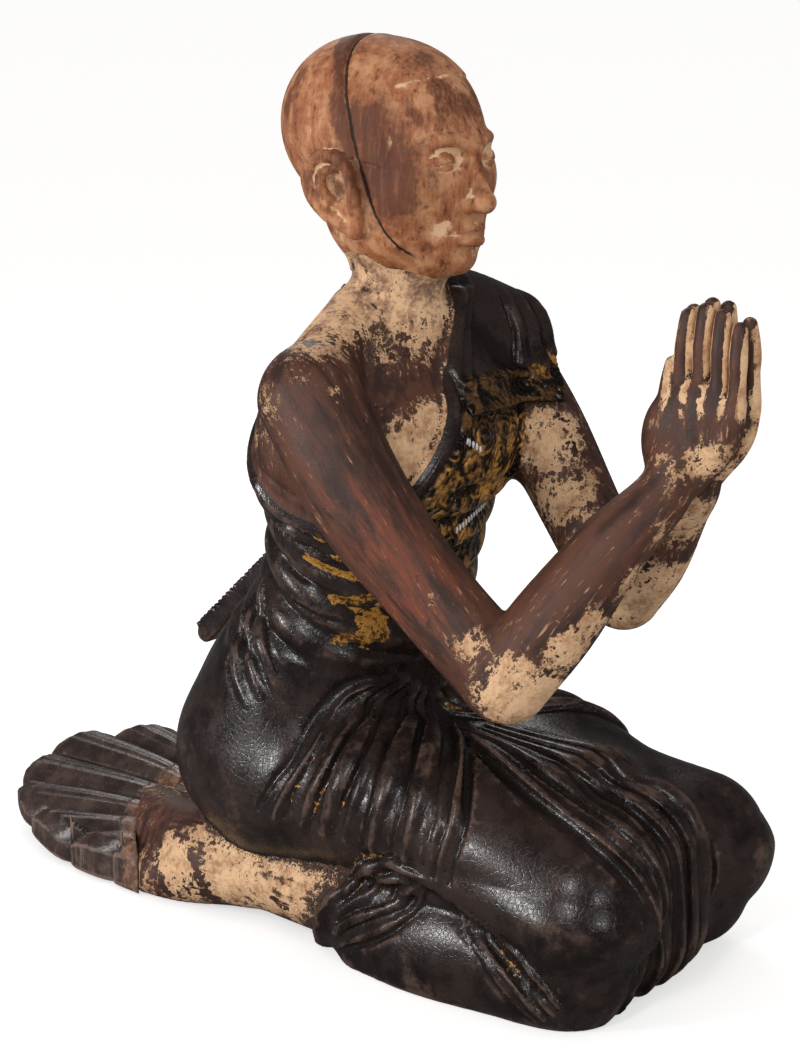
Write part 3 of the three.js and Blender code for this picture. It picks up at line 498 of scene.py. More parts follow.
def dressTorso(clay):
    def amount(x, y, z):
        under = belowEdge(x, y, z)
        rolled = 3.4 * bump(under, 5, 4.5) + 3 * bump(under, 18, 4.5)
        wound = np.abs(np.sin(np.pi * (z - robe["windSlope"] * y) / robe["windStep"])) - 0.6
        atWaist = ease(225, 245, z) * ease(20, 45, under) * ease(390, 350, z)
        edge = (robe["thickness"] * ease(-2, 2, under) + rolled) * ease(120, 190, z)
        return edge + robe["windDepth"] * atWaist * wound

    clay.swell((-150, -130, 110), (150, 190, 534), amount)


def shapeNeck(clay):
    radius, bottom = neck["radius"], neck["bottom"]
    clay.add(limb([(0, 8, bottom, radius), (0, neck["y"], 536, 36), (0, 8, 580, 36)]), 12, skinTone)


def hangSash(clay):
    path = [(34, 494), (80, 446), (99, 390), (108, 330), (125, 299), (159, 270), (236, 194)]
    clay.add(band(path, sash["x"], sash["halfWidth"], sash["thickness"]), 5, clothTone)
    start, end = np.array(path[-3], float), np.array(path[-1], float)
    way = (end - start) / np.linalg.norm(end - start)
    above = np.array([-way[1], way[0]]) * sash["thickness"] * 0.62
    for i in range(sash["notches"]):         # a notched border down both edges
        y, z = mix(start, end, i / (sash["notches"] - 1)) + above
        for x in (sash["x"] - sash["halfWidth"] + 3, sash["x"] + sash["halfWidth"] - 3):
            clay.add(ball((x, y, z), (4, 2.4, 2.4)), 0.8, clothTone)


def shapeArms(clay):
    for side in (-1, 1):
        ex, ey, ez = elbow[side]
        out, back, up = shoulder[side], shoulder["y"][side], shoulder["z"]
        girth, radius = shoulder["radius"][side], elbow["radius"][side]

        def toElbow(t, lift):
            return mix(out, ex, t) + 5 * (1 - t), mix(back, ey, t), mix(up, ez, t) + lift

        slim = 4 if side < 0 else 0          # how far the crook of the right arm is drawn in
        sag = 1 if side < 0 else 0           # 1 where the upper arm hangs out and back of its straight line
        x1, y1, z1 = toElbow(0.34, 4)
        x2, y2, z2 = toElbow(0.68, 2 - slim)
        upper = [(out, back, up, girth),
                 (x1 + 4 * sag, y1 + 9 * sag, z1 - 8 * sag, mix(girth, radius, 0.34) + 1),
                 (x2 + 3 * sag, y2 + 5 * sag, z2 - 4 * sag, mix(girth, radius, 0.68) - slim / 2),
                 (ex, ey, ez, radius)]
        wx, wy, wz = wrist[side]
        wr = wrist["radius"]
        fore = [(ex, ey - 4, ez - 2, radius - 1),
                (mix(ex, wx, 0.24), mix(ey, wy, 0.34), mix(ez, wz, 0.3) - 2, radius * 1.1 - 3.5),
                (mix(ex, wx, 0.62), mix(ey, wy, 0.72), mix(ez, wz, 0.7), radius * 0.79),
                (wx + 3, wy + 3, wz - 8, wr + 1), (wx - 6, wy - 2, wz + 16, wr - 1)]
        clay.add(limb(onSide(side, upper)), 16, skinTone)
        clay.add(limb(onSide(side, fore)), 5, skinTone)


def shapeHands(clay):                        # palm to palm: a palm, four fingers and a thumb on each side
    for side in (-1, 1):
        middle, fingers, base = hand["y"][side], hand["fingers"][side], hand["knuckles"]
        clay.add(ball((side * 12, middle, 450), (14, 36, 37)), 10, skinTone)
        clay.add(ball((side * 15, middle + 22, 436), (12, 20, 30)), 10, skinTone)
        edge = [(9, fingers[3], base + 8, 7), (11, fingers[3] + 4, 450, 9), (12, fingers[3] + 16, 431, 11),
                (13, fingers[3] + 34, 412, 13)]
        clay.add(limb(onSide(side, edge)), 6, skinTone)
        for y, tip, r in zip(fingers, hand["tips"][side], hand["radius"]):
            lean = (middle - 12 - y) * 0.05
            finger = [(11, mix(y, middle - 12, 0.1), base - 14, r), (11.5, y, base, r + 0.6),
                      (10, y, mix(base, tip, 0.4), r - 0.3), (10, y, mix(base, tip, 0.56), r + 0.3),
                      (8.5, y + lean * 0.6, mix(base, tip, 0.78), r - 0.3), (7, y + lean, tip - 7, r - 0.8)]
            clay.add(limb(onSide(side, finger), 4), 0.8, skinTone)
        thumb = [(17, 24, 430, 12), (16, 25, 452, 8.8), (14, 23, 470, 7), (13, 21.5, 484, 6.4),
                 (12, 20, 494, 5.8)]
        clay.add(limb(onSide(side, [(x, middle + y, z, r) for x, y, z, r in thumb]), 4), 2, skinTone)


# The head. Its face is a plain calm one on even thirds: hair to brow, brow to nose, nose to chin
def shapeHead(clay):
    top, height, halfWidth, halfLength, y = head.values()
    chin = top - height
    front = y - halfLength
    eyeZ = chin + height * 0.5
    browZ = chin + height * 0.56
    noseZ = chin + height * 0.28
    mouthZ = noseZ - height * 0.092
    clay.add(ball((0, y + 1, top - 70), (halfWidth - 1, halfLength - 4, 70)), 12, headTone)
    clay.add(ball((0, y + 27, top - 62), (halfWidth - 9, 56, 58)), 16, headTone)
    clay.add(ball((0, y - 9, top - 102), (halfWidth - 9, 57, 70)), 16, headTone)
    clay.add(ball((0, y - 22, top - 98), (halfWidth - 10, 65, 68)), 12, headTone)
    clay.add(ball((0, y - 27, chin + 60), (52, 56, 60)), 26, headTone)
    clay.add(ball((0, y - 58, chin + 20), (24, 21, 18)), 20, headTone)
    for side in (-1, 1):
        clay.add(ball((side * 35, front + 36, chin + 74), (20, 22, 20)), 18, headTone)
        clay.add(ball((side * 38, y - 20, chin + 42), (17, 34, 24)), 22, headTone)
    shapeNose(clay, front, eyeZ, noseZ)
    for side in (-1, 1):
        shapeEye(clay, side, front, eyeZ, browZ)
    shapeMouth(clay, front, mouthZ, chin)
    for side in (-1, 1):
        shapeEar(clay, side)


def shapeNose(clay, front, eyeZ, noseZ):
    bridge = [(0, front + 6, eyeZ + 14, 6.5), (0, front + 4, eyeZ - 2, 5.5), (0, front - 3, noseZ + 22, 6.5),
              (0, front - 8, noseZ + 9, 8.5)]
    clay.add(limb(bridge), 9, headTone)
    clay.add(ball((0, front - 9.5, noseZ + 7), (8.5, 8, 7.5)), 5, headTone)
    for side in (-1, 1):
        clay.add(ball((side * 9.5, front + 1, noseZ + 5.5), (6, 8, 6)), 4, headTone)
        clay.carve(ball((side * 5.2, front - 6, noseZ - 1.5), (2.8, 4.2, 2.2)), 1.5)


def shapeEye(clay, side, front, eyeZ, browZ):
    brow = [(6, front + 3, browZ - 3, 4), (20, front + 4, browZ + 4, 4), (34, front + 12, browZ + 4, 3.6),
            (46, front + 26, browZ - 3, 2.4)]
    clay.add(limb(onSide(side, brow)), 7, headTone)
    clay.carve(ball((side * 26, front - 2, eyeZ + 0.5), (17, 12, 8.5)), 9)
    clay.add(ball((side * 26, front + 20, eyeZ - 1), (14.5, 15, 11.5)), 3, headTone)
    # Half-lowered lids: a shell round the ball of the eye, open along a narrow curved slit
    for up, gap, depth in ((1, -3.2, 1.8), (-1, -4.6, 1.2)):
        lid = ball((side * 26, front + 20, eyeZ - 1), (15.6, 15 + depth, 12.4))

        def shell(xs, ys, zs, lid=lid, up=up, gap=gap):
            x, y, z = spread(xs, ys, zs)
            slit = eyeZ + gap + 1.6 * (1 - ((x - side * 26) / 14) ** 2)
            return softMax(lid[2](xs, ys, zs), up * (slit - z), 1.0)
        clay.add((lid[0], lid[1], shell), 0.8, headTone)
    crease = [(13, front + 8, eyeZ + 2, 0.8), (20, front + 2, eyeZ + 7.5, 1.0),
              (29, front + 3, eyeZ + 8.5, 1.0), (40, front + 15, eyeZ + 3, 0.7)]
    clay.carve(limb(onSide(side, crease)), 1.6)


def shapeMouth(clay, front, mouthZ, chin):
    def both(half):                          # the same on both sides, from the half with x under 0
        whole = half + [(-x, y, z, r) for x, y, z, r in reversed(half) if x]
        return limb([(x, front + y, mouthZ + z, r) for x, y, z, r in whole])

    upper = [(-22, 11.5, 0.8, 1.2), (-13, 3.2, 3.0, 2.8), (-4.5, -1.6, 5.2, 3.2), (0, -1.6, 4.2, 3.1)]
    lower = [(-19, 8.5, -2.6, 1.6), (-9, 1.2, -6.0, 3.6), (0, -0.8, -7.0, 4.2)]
    line = [(-22, 8.5, 0.2, 0.7), (-13, -0.2, -0.8, 1.3), (0, -5.6, -1.1, 1.5)]
    underLip = [(-12, 4, -14, 2.6), (0, 1, -15, 3.2)]
    clay.add(ball((0, front + 17, mouthZ), (24, 16, 17)), 10, headTone)
    for lip in (upper, lower):
        clay.add(both(lip), 1.2, headTone)
    clay.carve(both(line), 1.2)
    clay.carve(limb([(0, front - 3, mouthZ + 13, 1.6), (0, front - 2, mouthZ + 8.5, 2.2)]), 3)
    clay.carve(both(underLip), 6)
    clay.add(ball((0, front + 16, chin + 13), (14, 12, 11)), 9, headTone)


def shapeEar(clay, side):                    # a plate, a rolled rim, an inner fold and a long lobe
    tilt = math.radians(ear["lean"])
    spreadOut = math.radians(ear["flare"])
    x, size = head["halfWidth"] - 1, ear["size"]

    def place(u, v, out, r):                 # u backwards and v upwards in the plane of the ear
        back = (u * math.cos(tilt) - v * math.sin(tilt)) * size
        up = (u * math.sin(tilt) + v * math.cos(tilt)) * size
        away = x + out * size + (back + 10) * math.sin(spreadOut)
        return side * away, ear["y"] + back * math.cos(spreadOut), ear["z"] + up, r * size

    turn = (ear["lean"], 0, side * ear["flare"])
    clay.add(ball(place(0, 2, -2, 0)[:3], (6.5, 20, 30), turn), 5, headTone)
    clay.carve(ball(place(-1, 8, 6, 0)[:3], (7, 13, 18), turn), 2.5)
    rim = [(-15, -2, 2, 3.2), (-17, 14, 3, 3.6), (-9, 30, 4, 4.2), (6, 35, 5, 4.6), (18, 26, 5.5, 4.8),
           (22, 8, 5, 4.8), (17, -10, 4.5, 4.6), (8, -24, 4, 5.4), (0, -34, 3, 6.4)]
    clay.add(limb([place(*s) for s in rim]), 2.5, headTone)
    inner = [(-5, 22, 3, 2.4), (6, 22, 4, 3), (12, 10, 4, 3.2), (8, -4, 3.5, 3.2), (0, -12, 3, 3)]
    clay.add(limb([place(*s) for s in inner]), 2.5, headTone)
    lobe = [(-8, -12, 1, 5.5), (-8, -24, 1, 7.2), (-3, -36, 1, 7.4)]
    clay.add(limb([place(*s) for s in lobe]), 4, headTone)
    clay.add(ball(place(-14, -6, 3, 0)[:3], (4, 5, 6)), 3, headTone)


def seamY(z):                                # the open joint in the head runs forward as it runs down
    return 27 - 0.39 * (head["top"] - z) - 3.5 * np.sin((head["top"] - z) / 26)


# The hairline runs straight across the brow, square at the temples and down before the ears
def behindHairline(x, y, z):
    brow = z - (694 - 0.0035 * x * x)
    temple = np.minimum((y + 28 + 0.08 * (670 - z)) * 0.9, z - 632 - 0.2 * y + 4 * np.maximum(0, y - 2))
    return softMax(brow, temple, 2)


def finishHead(clay):                        # hairline step and the open joint
    def amount(x, y, z):
        scalp = behindHairline(x, y, z)
        off = y - seamY(z)
        joint = bump(off, 0, 2.4) * ease(548, 560, z)
        lip = bump(off, 6.5, 4) + bump(off, -6, 3.5)
        return 1.5 * ease(-1.0, 1.0, scalp) - 2.6 * joint + 0.6 * lip * ease(560, 600, z)
    clay.swell((-100, -110, 540), (100, 130, 730), amount)


def shapeLegs(clay):
    clay.add(board((0, -50, 50), (88, 190, 58), 30), 10)
    for side in (-1, 1):
        near = side < 0
        lift, lower = (6, 0) if near else (1, 13)            # the left thigh is lower, most at the knee
        kneeEnd = (knee["x"] + lower * 0.2, knee["y"], knee["z"] - lower * 0.4, knee["radius"])
        thigh = [tuple(hip.values()), (69, -40, 121 + lift, 63), (75, -104, 119 + lift, 61),
                 (80, -166, 116 - lower, 57 - lower * 0.2), kneeEnd]
        bottom = (41, 51) if near else (56, 53)
        x, radius = shin["x"], shin["radius"]
        calf = [(knee["x"] - 1, knee["y"] + 14) + bottom, (x + 1, -110, 44, radius + 5), (x, 20, 44, radius),
                (x + 2, 110, 46, radius - 4), (x + 1, shin["ankleY"], 42, 34), (60, 218, 38, 30),
                (34, 262, 34, 26)]
        clay.add(limb(onSide(side, thigh)), 20, clothTone)
        clay.add(limb(onSide(side, calf)), 5, skinTone)
        overShin = [(82, -196, 32, 46), (86, -112, 26, 47), (84, -56, 24, 42)]
        clay.add(limb(onSide(side, overShin)), 10, clothTone)
        foot = [(88, 96, 38, 30), (100, 150, 25, 25), (107, 188, 19, 19), (104, 226, 17, 17)]
        clay.add(limb(onSide(side, foot)), 12, skinTone)
    clay.add(board((0, -86, 134), (62, 120, 38), 30), 26, clothTone)
    clay.add(board((0, -186, 76), (68, 86, 78), 46), 16, clothTone)
    clay.add(board((0, 140, 28), (84, 126, 26), 18), 10, skinTone)


def hemShort(y, z):                          # how far in front of the skirt's slanting hem
    waver = 1.8 * np.sin(z / 6.5 + 0.6) + 1.0 * np.sin(z / 2.9)
    return 0.8 * (skirt["hemY"] - skirt["hemRun"] * z - skirt["hemCurve"] * z * z - y + waver)


def dressLegs(clay):
    def amount(x, y, z):
        full = ease(-2.5, 2.5, hemShort(y, z)) * (0.8 + 0.45 * bump(hemShort(y, z), 5, 5))
        return skirt["hemThickness"] * full * ease(116, 88, z) * ease(60, 90, np.abs(x))

    clay.swell((-150, -330, -20), (150, 60, 112), amount)
    besideShin = [(129, -69, 100), (128, -123, 90), (128, -176, 66), (132, -232, 34)]
    for side in (-1, 1):
        crease = clay.settle(onSide(side, besideShin))
        clay.carve(limb(np.hstack([crease, np.full((len(besideShin), 1), 4.0)])), 10)


def foldCloth(clay):
    lap = [[(-25, -70, 184), (16, -84, 184)], [(-62, -132, 180), (16, -140, 180)],
           [(-90, -198, 167), (20, -204, 162)], [(-99, -250, 150), (24, -250, 147)],
           [(-94, -284, 126), (28, -276, 122)], [(-84, -299, 92), (30, -276, 88)],
           [(-72, -290, 50), (32, -270, 50)], [(-66, -268, 6), (30, -258, 6)]]
    pleats(clay, lap, 7, 12.5, 3.8, sink=0.5, bend=0.035)
    groove(clay, [row[0] for row in lap], 5, 2)
    for side in (-1, 1):
        def flip(rows):
            return [onSide(side, row) for row in rows]

        hipRows = [[(50, -28, 222), (6, -38, 194)], [(77, -7, 214), (26, -66, 182)],
                   [(98, 3, 195), (72, -107, 186)], [(115, 7, 176), (100, -127, 178)],
                   [(127, 14, 156), (120, -138, 162)], [(132, 24, 136), (131, -142, 146)],
                   [(134, 34, 114), (137, -134, 104)]]
        pleats(clay, flip(hipRows), 7 if side < 0 else 6, 11, 3.4, sink=0.45, bend=0.04, fade=0.55)
        if side < 0:
            for end in (0, 1):
                groove(clay, [row[end] for row in flip(hipRows)], 5.5, 3)
        waistRows = [[(82, 84, 296), (86, 74, 300)], [(90, 96, 268), (92, 72, 276)],
                     [(104, 92, 240), (106, 60, 246)], [(113, 82, 217), (112, 45, 222)],
                     [(119, 66, 196), (110, 30, 198)]]
        pleats(clay, flip(waistRows), 3, 7, 2.6, sink=0.55, taper=0.3, fade=0.7)
        corner = [[(136, -128, 100), (137, -130, 92)], [(131, -98, 103), (138, -108, 68)],
                  [(128, -76, 97), (138, -82, 48)], [(125, -58, 84), (138, -50, 28)],
                  [(122, -42, 66), (137, -28, 12)]]
        pleats(clay, flip(corner), 4, 6, 2.4, sink=0.45, taper=0.3, fade=0.3)
        kneeRows = [[(137, -150, 92), (137, -140, 84)], [(136, -190, 72), (137, -176, 56)],
                    [(138, -226, 52), (138, -206, 30)], [(132, -252, 24), (134, -226, 8)]]
        pleats(clay, flip(kneeRows), 4, 3.6, 1.5, sink=0.5, taper=0.25)
        for *path, depth in wraps:
            groove(clay, onSide(side, path), depth)


def aboveFlap(x, z):                         # how far above the lower edge of the robe on the shoulder
    return z + 0.05 * x - robe["flapBottom"]


def inFlap(x, y, z, full=1.0):               # full under the robe on the shoulder, less at its edges
    above = aboveFlap(x, z) - 1.5 * np.maximum(0, x - 104)
    offNeck = np.minimum(ease(42, 52, np.hypot(x, y - neck["y"])) + ease(505, 490, z), 1)
    return full * ease(-2, 2, above) * offNeck * ease(-2, 2, belowEdge(x, y, z)) * ease(70, 40, y)


def dressShoulder(clay):
    def amount(x, y, z):
        above = aboveFlap(x, z) - 1.5 * np.maximum(0, x - 104)
        border = bump(above, 4, 3.5) + bump(above, 22, 3)
        return inFlap(x, y, z, 4.5 + 2.2 * border)

    clay.swell((-10, -130, 380), (190, 80, 540), amount)
    hanging = [[(92, -34, 518), (128, -22, 508)], [(92, -50, 488), (130, -40, 490)],
               [(90, -54, 462), (124, -58, 464)]]
    pleats(clay, hanging, 3, 6, 1.8, sink=0.6, taper=0.4)


def behindJoint(x, y):                       # how far behind the joint between the feet and the hem fan
    middle, side = split["middleY"], split["sideY"]
    return y - (middle - (middle - side) * (x / split["halfWidth"]) ** 2)


def shapeFan():                              # pleats that spread from under the feet, each cut off in facets
    low, high, finer = (-150, 190, -8), (150, 440, 100), 0.62
    clay = Clay(low, high, {axis: [(a, b, finer)] for axis, a, b in zip("xyz", low, high)})
    x, y, z = spread(*clay.axes)
    turn = np.degrees(np.arctan2(x, y - fan["centreY"]))
    lobe = (turn + fan["spread"]) / (2 * fan["spread"]) * fan["lobes"]
    place = lobe - np.floor(lobe)
    across = np.abs(2 * place - 1)
    crest = 1 - across ** 2.2
    square = 1 - across ** 5                 # the pleats' ends are flatter than their backs
    number = np.floor(lobe)
    uneven = np.sin(number * 2.3 + 0.7)
    past = np.maximum(y - fan["wideY"], 0)
    reach = 0.955 + 0.045 * square + 0.008 * uneven
    rim = (np.hypot(x / fan["halfWidth"], past / fan["length"]) - reach) * fan["halfWidth"]
    rise = fan["slant"] * x * ease(190, 300, y) + 3 * ease(220, 330, y)
    ripple = 0.5 * np.sin(turn * 3.1) * ease(230, 300, y)
    height = fan["top"] - 8 + 10 * crest * ease(180, 300, y) + 1.5 * uneven * ease(230, 330, y)
    top = z - (height + rise + ripple)
    under = fan["bottom"] + 0.6 * rise + 0.12 * (y - 320) - z
    bevel = (0.75 * rim + 0.66 * top + 7) * 0.98
    corner = 0.62 * rim + 0.5 * top + 11 * (across - 0.35)
    shape = softMax(softMax(rim, top, 1.5), bevel, 1.2)
    shape = softMax(softMax(shape, corner, 1.2), under, 4)
    shape = softMax(shape, fan["gap"] - behindJoint(x, y), 1.0)
    clay.value = np.maximum(shape, -z).astype(np.float32)
    return clay


def shapeFigure():
    clay = Clay((-180, -330, -12), (180, 300, 728))
    for work in (shapeTorso, dressTorso, shapeNeck, shapeLegs, dressLegs, foldCloth, hangSash, shapeArms,
                 dressShoulder, shapeHands, shapeHead, finishHead):
        work(clay)
    x, y, z = spread(*clay.axes)
    clay.value = np.maximum(clay.value, -z)  # flat underside, and an upright face where the hem joins
    clay.value = softMax(clay.value, behindJoint(x, y), 1.5).astype(np.float32)
    return clay


def thinned(piece, triangles):               # fewer triangles, closest together where the form turns most
    count = len(piece.data.polygons) * 2
    if count > triangles:
        fewer = piece.modifiers.new("fewer", "DECIMATE")
        fewer.ratio = triangles / count
        settledMesh(piece, fewer)
    smoothShaded(piece.data)
    return piece


# Where the finish has worn: soft round places as x, y, z, radius, strength
bareWood = [
    (-20, -40, 505, 40, 0.75), (15, -30, 510, 34, 0.7), (-45, 10, 505, 34, 0.6), (0, 60, 520, 45, 0.5),
    (-58, -26, 492, 26, 0.7), (-14, -56, 470, 14, 0.9), (-80, -60, 430, 24, 0.7),
    (-60, -62, 400, 40, 1.3), (-95, -45, 390, 38, 1.0), (-40, -62, 430, 22, 1.0),
    (-20, -66, 446, 14, 1.0), (-174, -3, 454, 26, 0.5), (-163, -31, 480, 14, 0.5),
    (-145, -54, 469, 12, 0.6), (-143, -145, 330, 22, 0.42), (-142, -174, 296, 18, 0.7),
    (-128, -200, 262, 34, 1.0), (-112, -212, 252, 34, 1.15), (-105, -235, 292, 26, 0.85),
    (-85, -245, 312, 22, 0.7), (-62, -262, 342, 22, 0.6), (-48, -272, 378, 20, 0.5),
    (-37, -269, 420, 22, 0.55), (-26, -296, 430, 22, 0.75), (-22, -262, 440, 14, 0.6),
    (-26, -280, 448, 14, 0.35), (14, -322, 470, 18, 1.1), (16, -322, 520, 15, 1.1),
    (16, -312, 440, 16, 1.0), (10, -290, 420, 16, 0.9), (78, -86, 401, 40, 0.88),
    (68, -109, 356, 38, 0.78), (72, -150, 310, 22, 0.5), (53, -196, 277, 46, 1.1),
    (22, -257, 370, 40, 0.8), (60, -215, 310, 36, 0.9), (-117, 13, 58, 52, 0.95), (-118, 77, 52, 50, 1.0),
    (-118, 140, 30, 36, 0.7), (-110, 190, 30, 30, 0.4), (117, 30, 50, 60, 0.8), (116, 120, 46, 60, 0.7),
    (0, 220, 50, 80, 0.6), (130, 20, 440, 40, 0.4), (-120, 40, 440, 44, 0.5), (-118, 150, 44, 30, 0.85),
    (-98, 118, 66, 26, 0.8), (-108, 178, 22, 26, 0.75),
]
gilding = [
    (-70, -24, 268, 26, 1.0), (-60, -32, 292, 24, 0.95), (-88, -8, 256, 14, 0.9),
    (-76, -18, 318, 18, 0.6), (100, -75, 450, 24, 0.7), (124, -60, 452, 22, 0.8), (83, -92, 173, 22, 0.5),
    (-60, -60, 200, 22, 0.3), (-103, 21, 345, 34, 0.40), (-100, 30, 380, 34, 0.40),
    (-128, -50, 110, 60, 0.46), (-120, 0, 130, 50, 0.46), (-60, -290, 60, 60, 0.36),
    (-130, -200, 30, 60, 0.36),
]
giltLines = [                                # gold left along the wraps: two ends, reach and strength
    ((-94, 68, 357), (-101, 0, 341), 3.4, 0.95), ((-101, 44, 348), (-93, -13, 324), 3.4, 0.9),
    ((-79, 76, 325), (-95, 13, 288), 4, 0.8), ((-101, 18, 324), (-80, -16, 308), 5, 0.9),
    ((-87, 2, 290), (-71, -26, 291), 5, 0.9), ((8, -44, 186), (84, -72, 178), 5, 0.95),
    ((-104, 2, 262), (-88, -40, 226), 4, 0.6),
]
smoked = [
    (-63, 8, 607, 11, 0.75), (63, 8, 607, 11, 0.75), (-60, -28, 624, 34, 0.95), (-57, -36, 600, 24, 0.85),
    (-60, -13, 660, 24, 0.95), (-60, -4, 676, 12, 0.5), (60, -10, 620, 24, 0.7), (0, 60, 700, 30, 0.35),
    (-40, 70, 640, 26, 0.3), (30, 84, 610, 40, 0.4), (-20, -30, 706, 24, 0.45),
]
paled = [                                    # pale wear on the head
    (-27, -58, 634, 15, 0.9), (27, -58, 634, 15, 0.9), (-14, -66, 612, 11, 0.9), (14, -66, 612, 11, 0.7),
    (-24, -60, 578, 15, 0.8), (0, -62, 556, 13, 0.8), (18, -62, 570, 14, 0.5), (-40, -40, 668, 15, 0.55),
    (-64, 34, 640, 30, 0.45), (-60, 10, 576, 16, 0.6), (0, 20, 716, 30, 0.2), (-74, 10, 590, 10, 0.4),
]
reddened = [
    (-160, -103, 367, 46, 1.0), (-150, -130, 330, 46, 1.0), (-167, -72, 402, 40, 0.8),
    (-110, -225, 300, 40, 0.4), (150, -90, 400, 60, 0.7), (-140, -60, 20, 40, 0.4),
    (-14, -315, 520, 12, 1.0),
]
grainLines = {                               # two points that a limb's grain runs through, and its reach
    "upperGrain": ((142, -178, 266), (134, -13, 456), 40),
    "foreGrain": ((112, -190, 272), (24, -262, 405), 34),
    "calfGrain": ((82, 130, 46), (82, -110, 44), 46),
}


def within(points, places):
    best = np.zeros(len(points))
    for x, y, z, radius, strength in places:
        away = np.linalg.norm(points - (x, y, z), axis=1)
        best = np.maximum(best, strength * (1 - ease(0.1 * radius, 1.7 * radius, away)))
    return best


def nearLines(points, lines):
    best = np.zeros(len(points))
    for start, end, reach, strength in lines:
        start, end = np.array(start, float), np.array(end, float)
        way = end - start
        t = np.clip((points - start) @ way / (way @ way), 0, 1)
        away = np.linalg.norm(points - start - t[:, None] * way, axis=1)
        best = np.maximum(best, strength * (1 - ease(0.6 * reach, 1.5 * reach, away)))
    return best


def along(points, start, end, reach):        # 1 near a line, on either side of the figure
    p = points.copy()
    p[:, 0] = np.abs(p[:, 0])
    start, end = np.array(start, float), np.array(end, float)
    way = (end - start) / np.linalg.norm(end - start)
    t = np.clip((p - start) @ way, 0, np.linalg.norm(end - start))
    return 1 - ease(reach, reach + 12, np.linalg.norm(p - start - t[:, None] * way, axis=1))


def betweenFingers(x, y, z):                 # 0 on the back of each finger, 1 down its sides
    away = np.full(len(x), 99.0)
    for side in (-1, 1):
        for finger, tip in zip(hand["fingers"][side], hand["tips"][side]):
            beyond = np.maximum(z - tip, 0)
            away = np.where(x * side > 0, np.minimum(away, np.hypot(y - finger, beyond)), away)
    return ease(3.2, 5.2, away) * ease(446, 470, z) * ease(-250, -258, y)


def reliefOf(mesh, rounds):                  # how far each point stands above a smoothed form, per round
    count = len(mesh.vertices)
    points, normals = np.empty(count * 3, np.float32), np.empty(count * 3, np.float32)
    mesh.vertices.foreach_get("co", points)
    mesh.vertices.foreach_get("normal", normals)
    points, normals = points.reshape(-1, 3).astype(float) * 1000, normals.reshape(-1, 3)
    ends = np.empty(len(mesh.edges) * 2, np.int32)
    mesh.edges.foreach_get("vertices", ends)
    a, b = ends.reshape(-1, 2).T
    degree = np.bincount(a, minlength=count) + np.bincount(b, minlength=count)
    smooth, heights = points.copy(), []
    for step in range(max(rounds)):
        near = [np.bincount(a, smooth[b, k], count) + np.bincount(b, smooth[a, k], count) for k in range(3)]
        smooth += 0.5 * (np.stack(near, axis=1) / degree[:, None] - smooth)
        if step + 1 in rounds:
            heights.append(((points - smooth) * normals).sum(1))
    return heights


def shadeOf(mesh, shares):                   # one attribute for each share, from 0 to 1
    for name, share in shares.items():
        kept = np.clip(share, 0, 1.4).astype(np.float32)
        mesh.attributes.new(name, "FLOAT", "POINT").data.foreach_set("value", kept)


# What each point of the finished mesh is, from the clay it was read from
def readSurface(piece, clay):
    mesh = piece.data
    fine, broad = reliefOf(mesh, (4, 28))
    points = np.empty(len(mesh.vertices) * 3, np.float32)
    mesh.vertices.foreach_get("co", points)
    points = points.reshape(-1, 3).astype(float) * 1000
    x, y, z = points.T
    tone = {}
    real = clay.value
    for kind in (clothTone, headTone):
        clay.value = (clay.tone == kind).astype(np.float32)
        tone[kind] = clay.at(points)
    clay.value = real
    onHead = tone[headTone]
    under = belowEdge(x, y, z)
    bare = ease(1.5, -1.5, under) * ease(250, 270, z)
    hem = ease(-1, 1, hemShort(y, z)) * ease(128, 100, z) * ease(70, 50, y)
    handRegion = ease(-236, -246, y) * ease(380, 396, z)
    flap = inFlap(x, y, z) * ease(-10, 0, x) * ease(-150, -130, y) * (1 - onHead)
    cloth = np.maximum.reduce([tone[clothTone] * (1 - bare) * (1 - handRegion), flap, hem])
    chest = ease(-30, -42, y) * ease(262, 280, z) * ease(-62, -50, x) * ease(10, 16, under)
    border = ease(-3, 0, aboveFlap(x, z)) * ease(30, 24, aboveFlap(x, z)) * flap
    behindSeam = y - seamY(z)
    band = ease(-2, 3, behindSeam) * ease(22, 8, behindSeam + 3 * np.sin(z / 9)) * ease(606, 640, z)
    aroundNeck = ease(590, 570, z) * ease(466, 520, z) * ease(-140, -120, y)
    neckWear = aroundNeck * (1 - onHead) * (1 - cloth)
    hairline = bump(behindHairline(x, y, z), 0, 1.8) * onHead * ease(612, 636, z)
    most = np.maximum.reduce
    shares = {
        "cloth": cloth,
        "head": onHead,
        "gilding": most([within(points, gilding), nearLines(points, giltLines)]),
        "bareWood": most([within(points, bareWood), betweenFingers(x, y, z), neckWear]),
        "smoked": most([within(points, smoked), 0.95 * band * onHead, 0.7 * neckWear]),
        "reddened": within(points, reddened),
        "paled": most([within(points, paled), 0.62 * hairline]),
        "groove": most([np.clip(-fine / 0.55, 0, 1), np.clip(-broad / 2.2, 0, 1)]),
        "crest": np.clip(fine / 0.6, 0, 1) * 0.8 + np.clip((broad - 1.5) / 3, 0, 1) * 0.2,
        "relief": most([chest * (1 - flap), border]),
    }
    for name, (start, end, reach) in grainLines.items():
        shares[name] = along(points, start, end, reach)
    shadeOf(mesh, shares)


class Wiring:                                # short ways to add the nodes of one tree
    def __init__(self, tree, family=""):
        self.tree, self.family = tree, family

    def put(self, socket, value):
        if isinstance(value, bpy.types.NodeSocket):
            self.tree.links.new(value, socket)
        else:
            socket.default_value = value

    def node(self, kind, inputs, **settings):
        made = self.tree.nodes.new(self.family + kind)
        for name, value in settings.items():
            setattr(made, name, value)
        for name, value in inputs.items():
            self.put(made.inputs[name], value)
        return made


